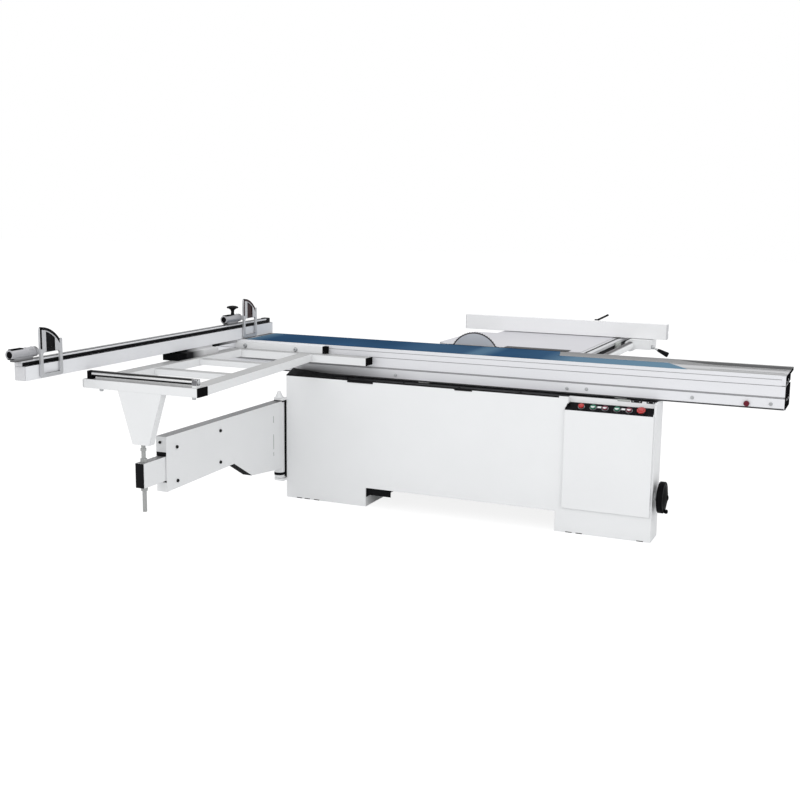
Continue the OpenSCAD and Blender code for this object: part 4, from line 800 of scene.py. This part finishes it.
for left, part, shade in ((-1699, "outer_stop", grained_black), (22, "inner_stop", smoked)):
    bm = bmesh.new()
    window = [(left + 17.5, 1015.5), (left + 128.5, 1015.5), (left + 128.5, 1048.5)]
    plate(bm, window + arch(left, window_r, 107, 17.5), 184, 188)
    plate(bm, [(left + 39, 999), (left + 97, 999), (left + 97, 1016), (left + 39, 1016)], front_x, 192.5)
    plate(bm, [(left + 0.5, 1014), (left + 12, 1014)] + arch(left, rim_r, 12, 0.5), front_x, 192.6)
    plate(bm, arch(left, band_r, 128, 0.5) + arch(left, rim_r, 0.5, 128), front_x, 192.6)
    fit(bm, part + "_insert", part + "_flip", shade)
    bm = bmesh.new()
    plate(bm, [(left + 12, 1002), (left + 39, 1002)] + arch(left, band_r, 39, 12), front_x, 192.3)
    right_strip = [(left + 97, 1002), (left + 132, 1002), (left + 132, 1040)]
    plate(bm, right_strip + arch(left, band_r, 124, 97), front_x, 192.3)
    fit(bm, part + "_face_strips", part + "_flip", cast_silver)
    bm = bmesh.new()
    turned(bm, at(barrel_x, left - 148, barrel_z), (0, 1, 0),
           [(0, 0), (0.0157, 0), (0.0157, 0.004), (0, 0.004)], 32)
    block(bm, at(139, left - 146, 1020), at(161, left - 72, 1027.3), 0.0015)
    block(bm, at(139, left - 150.5, 982.5), at(166, left - 140, 987), 0.001)
    fit(bm, part + "_plug", part, end_black)
    bm = bmesh.new()
    for back in (52, 12):
        turned(bm, at(barrel_x, left - back, barrel_z), (0, 1, 0),
               [(0.0221, 0), (0.0235, 0.0008), (0.0235, 0.0052), (0.0221, 0.006)], 40)
    fit(bm, part + "_collars", part, barrel_silver)

# Main table: a ribbed grey iron casting with a ground top, and a folded steel extension beside it.
# A blackened steel insert with countersunk screws lies round the blade; a thin dark plate beside it is
# painted shade of the gap to the rolling table.
ground = surface("ground_cast_iron", (0.62, 0.615, 0.645), 0.5, metal=0.35, grain=(5, 420, 420), depth=0.05,
                 patch=0.04, worn=(0.7, 0.7, 0.7), spec=0.3, vary=0.08)
dress(ground, "main_table", "extension_table")
dress(black, "table_insert")
table_z = 880
bm = bmesh.new()
for x in (1315, 1630, 1815, 2000):
    turned(bm, at(x, 393, table_z), (0, 0, 1),
           [(0.0055, 0), (0.005, 0.0003), (0.003, 0.0003), (0.0028, 0.0001), (0, 0.0001)], 20)
fit(bm, "insert_screws", "base", zinc)
bm = bmesh.new()
block(bm, at(1650, 384.4, table_z), at(2022, 462, table_z + 0.7), 0.0003)
fit(bm, "table_gap_shade", "base", painted_dark_grey)

# Rip fence: an aluminium extrusion clamped on a cast carrier that slides on a round bar.
# White carrier and a white bar with its upper faces painted near black as reflection; a grey rail with a
# black strip of painted shade along its slot side and a black scale; grey end caps on the fence.
# The caps are notched where the carrier's tongue runs out of the fence's groove.
rail_grey = surface("drawn_rail_aluminium", (0.6, 0.605, 0.62), 0.42, metal=0.3, grain=(800, 4, 800),
                    depth=0.02, patch=0.01, edge=0.0012, vary=0.06)
dress(rail_grey, "rip_rail")
rip_silver = surface("bright_anodised_fence", (0.88, 0.88, 0.885), 0.4, metal=0.05, grain=(4, 800, 800),
                     depth=0.02, patch=0.01, edge=0.0015, vary=0.06, spec=0.3)
dress(rip_silver, "rip_fence")
# Painted reflection: the bar's upper faces are near black.
bar_white = surface("lacquered_bar", (0.82, 0.825, 0.83), 0.3, worn=bare_steel, edge=0.002, spec=0.1,
                    top_shade=(0.035, 0.03, 0.033))
dress(bar_white, "rip_bar")
dress(white, "rip_carrier")
dress(zinc, "carrier_lever")
dress(grained_black, "fence_lever")
down = math.radians(24)
slide = Vector((math.cos(down), 0, -math.sin(down)))
bm = bmesh.new()
turned(bm, at(2333, 1150, 838) + slide * 0.032, slide,
       [(0, 0), (0.0085, 0.001), (0.0105, 0.012), (0.0135, 0.045), (0.0155, 0.064), (0.013, 0.069),
        (0, 0.07)], 20)
fit(bm, "carrier_lever_grip", "rip_slide_lever", grained_black)
rail_y0, rail_y1 = 404, 1498
bm = bmesh.new()
# Painted shade: a black strip along the rail's outer side; the black scale strip lies on its top.
block(bm, at(2147.4, rail_y0, 836), at(2149.4, rail_y1, 862), 0.0005)
block(bm, at(2108, rail_y0, 876.8), at(2122, rail_y1, 877.5), 0.0003)
fit(bm, "rail_strips", "base", grained_black)
rail_ticks, rail_tick_pitch = 54, 20
bm = bmesh.new()
for k in range(rail_ticks):
    y = 410 + rail_tick_pitch * k
    block(bm, at(2109, y, 877.3), at(2120 if k % 5 == 0 else 2115, y + 1.2, 877.8))
fit(bm, "rail_scale_ticks", "base", white)
bm = bmesh.new()
block(bm, at(2149, 950, 826), at(2167, 1040, 876), 0.002)
fit(bm, "rail_bracket", "base", grey_steel)
cap_t = 4.2
cap_outline = [(1173, 887), (1175, 885), (1219, 885), (1221, 887), (1221, 916.5), (1211.5, 916.5),
               (1211.5, 931.5), (1221, 931.5), (1221, 971), (1219, 973), (1175, 973), (1173, 971)]
bm = bmesh.new()
for x in (1134, 2403.8):
    plate(bm, cap_outline, x, x + cap_t)
fit(bm, "rip_fence_caps", "rip_bar_fence", cap_grey)

# Saw unit: a cast swinging arm with arbor, belt drive and motor, and a small scoring unit.
# Painted castings, turned steel and black rubber belts.
casting = surface("painted_casting", (0.2, 0.22, 0.25), 0.5, metal=0.1, grain=180, depth=0.35)
dress(casting, "saw_pivot", "saw_arm", "scoring_bracket")
motor_blue = surface("hammered_motor_paint", (0.12, 0.18, 0.25), 0.4, grain=140, depth=0.4)
dress(motor_blue, "main_motor", "scoring_motor")
rubber = surface("belt_rubber", (0.015, 0.015, 0.015), 0.75, grain=300, depth=0.3)
dress(rubber, "drive_belt", "scoring_belt")
dress(steel, "arbor", "motor_pulley", "scoring_pulley", "lift_screw")
bronze = surface("machined_bronze", (0.52, 0.36, 0.13), 0.3, metal=1, grain=400, depth=0.08)
dress(bronze, "lift_nut")

# Saw blade: a ground steel disc with sixty teeth, each with a small brazed carbide tip.
# Its faces have a fine, even grain; the tips and a thin ring round the rim are darker than the disc.
ground_blade = surface("ground_blade_steel", (0.62, 0.625, 0.65), 0.36, metal=0.4, grain=(500, 20, 500),
                       depth=0.05)
dress(ground_blade, "saw_blade", "scoring_blade")
carbide = surface("brazed_carbide", (0.06, 0.055, 0.055), 0.4, metal=0.5, grain=300, depth=0.1)
low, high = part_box("saw_blade")
half_t = (high[1] - low[1]) / 2
arbor = at(1478, 0, 807)
centre = Vector((arbor.x, (low[1] + high[1]) / 2, arbor.z))
teeth = 60
bm = bmesh.new()
for k in range(teeth):
    tip = bmesh.new()
    block(tip, (-0.0016, -0.0016, 0.1455), (0.0016, 0.0016, 0.1512), 0.0004)
    bmesh.ops.rotate(tip, verts=tip.verts, matrix=Matrix.Rotation(2 * math.pi * k / teeth, 3, "Y"))
    bmesh.ops.translate(tip, verts=tip.verts, vec=centre)
    loose = bpy.data.meshes.new("tip")
    tip.to_mesh(loose)
    tip.free()
    bm.from_mesh(loose)
    bpy.data.meshes.remove(loose)
for way in (-1, 1):
    turned(bm, centre + Vector((0, way * half_t, 0)), (0, way, 0),
           [(0.141, 0), (0.141, 0.0002), (0.148, 0.0002), (0.148, 0)], 72)
fit(bm, "blade_tips", "saw_spindle", carbide)

# Handwheel: a moulded black wheel on the end of the lift screw, with a short free grip turned on a thin pin.
# Fine grained, dull plastic, with a turned cap on its hub.
wheel_black = surface("rubbed_black_plastic", (0.004, 0.004, 0.0045), 0.5, grain=900, depth=0.12, spec=0.03)
dress(wheel_black, "handwheel", "wheel_handle")
low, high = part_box("wheel_handle")
bm = bmesh.new()
turned(bm, Vector((low[0], (low[1] + high[1]) / 2, (low[2] + high[2]) / 2)), (1, 0, 0),
       [(0, 0), (0.005, 0), (0.005, 0.029), (0.008, 0.029), (0.0105, 0.033), (0.011, 0.038), (0.0105, 0.043),
        (0.0075, 0.0465), (0, 0.0475)], 40)
grip = fit(bm, "wheel_grip", "height_handle", wheel_black)
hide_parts("wheel_handle")
bm = bmesh.new()
turned(bm, at(2674, -20, 228), (1, 0, 0),
       [(0, 0), (0.014, 0), (0.0132, 0.003), (0.009, 0.0052), (0, 0.006)], 32)
fit(bm, "wheel_hub_cap", "height_wheel", wheel_black)
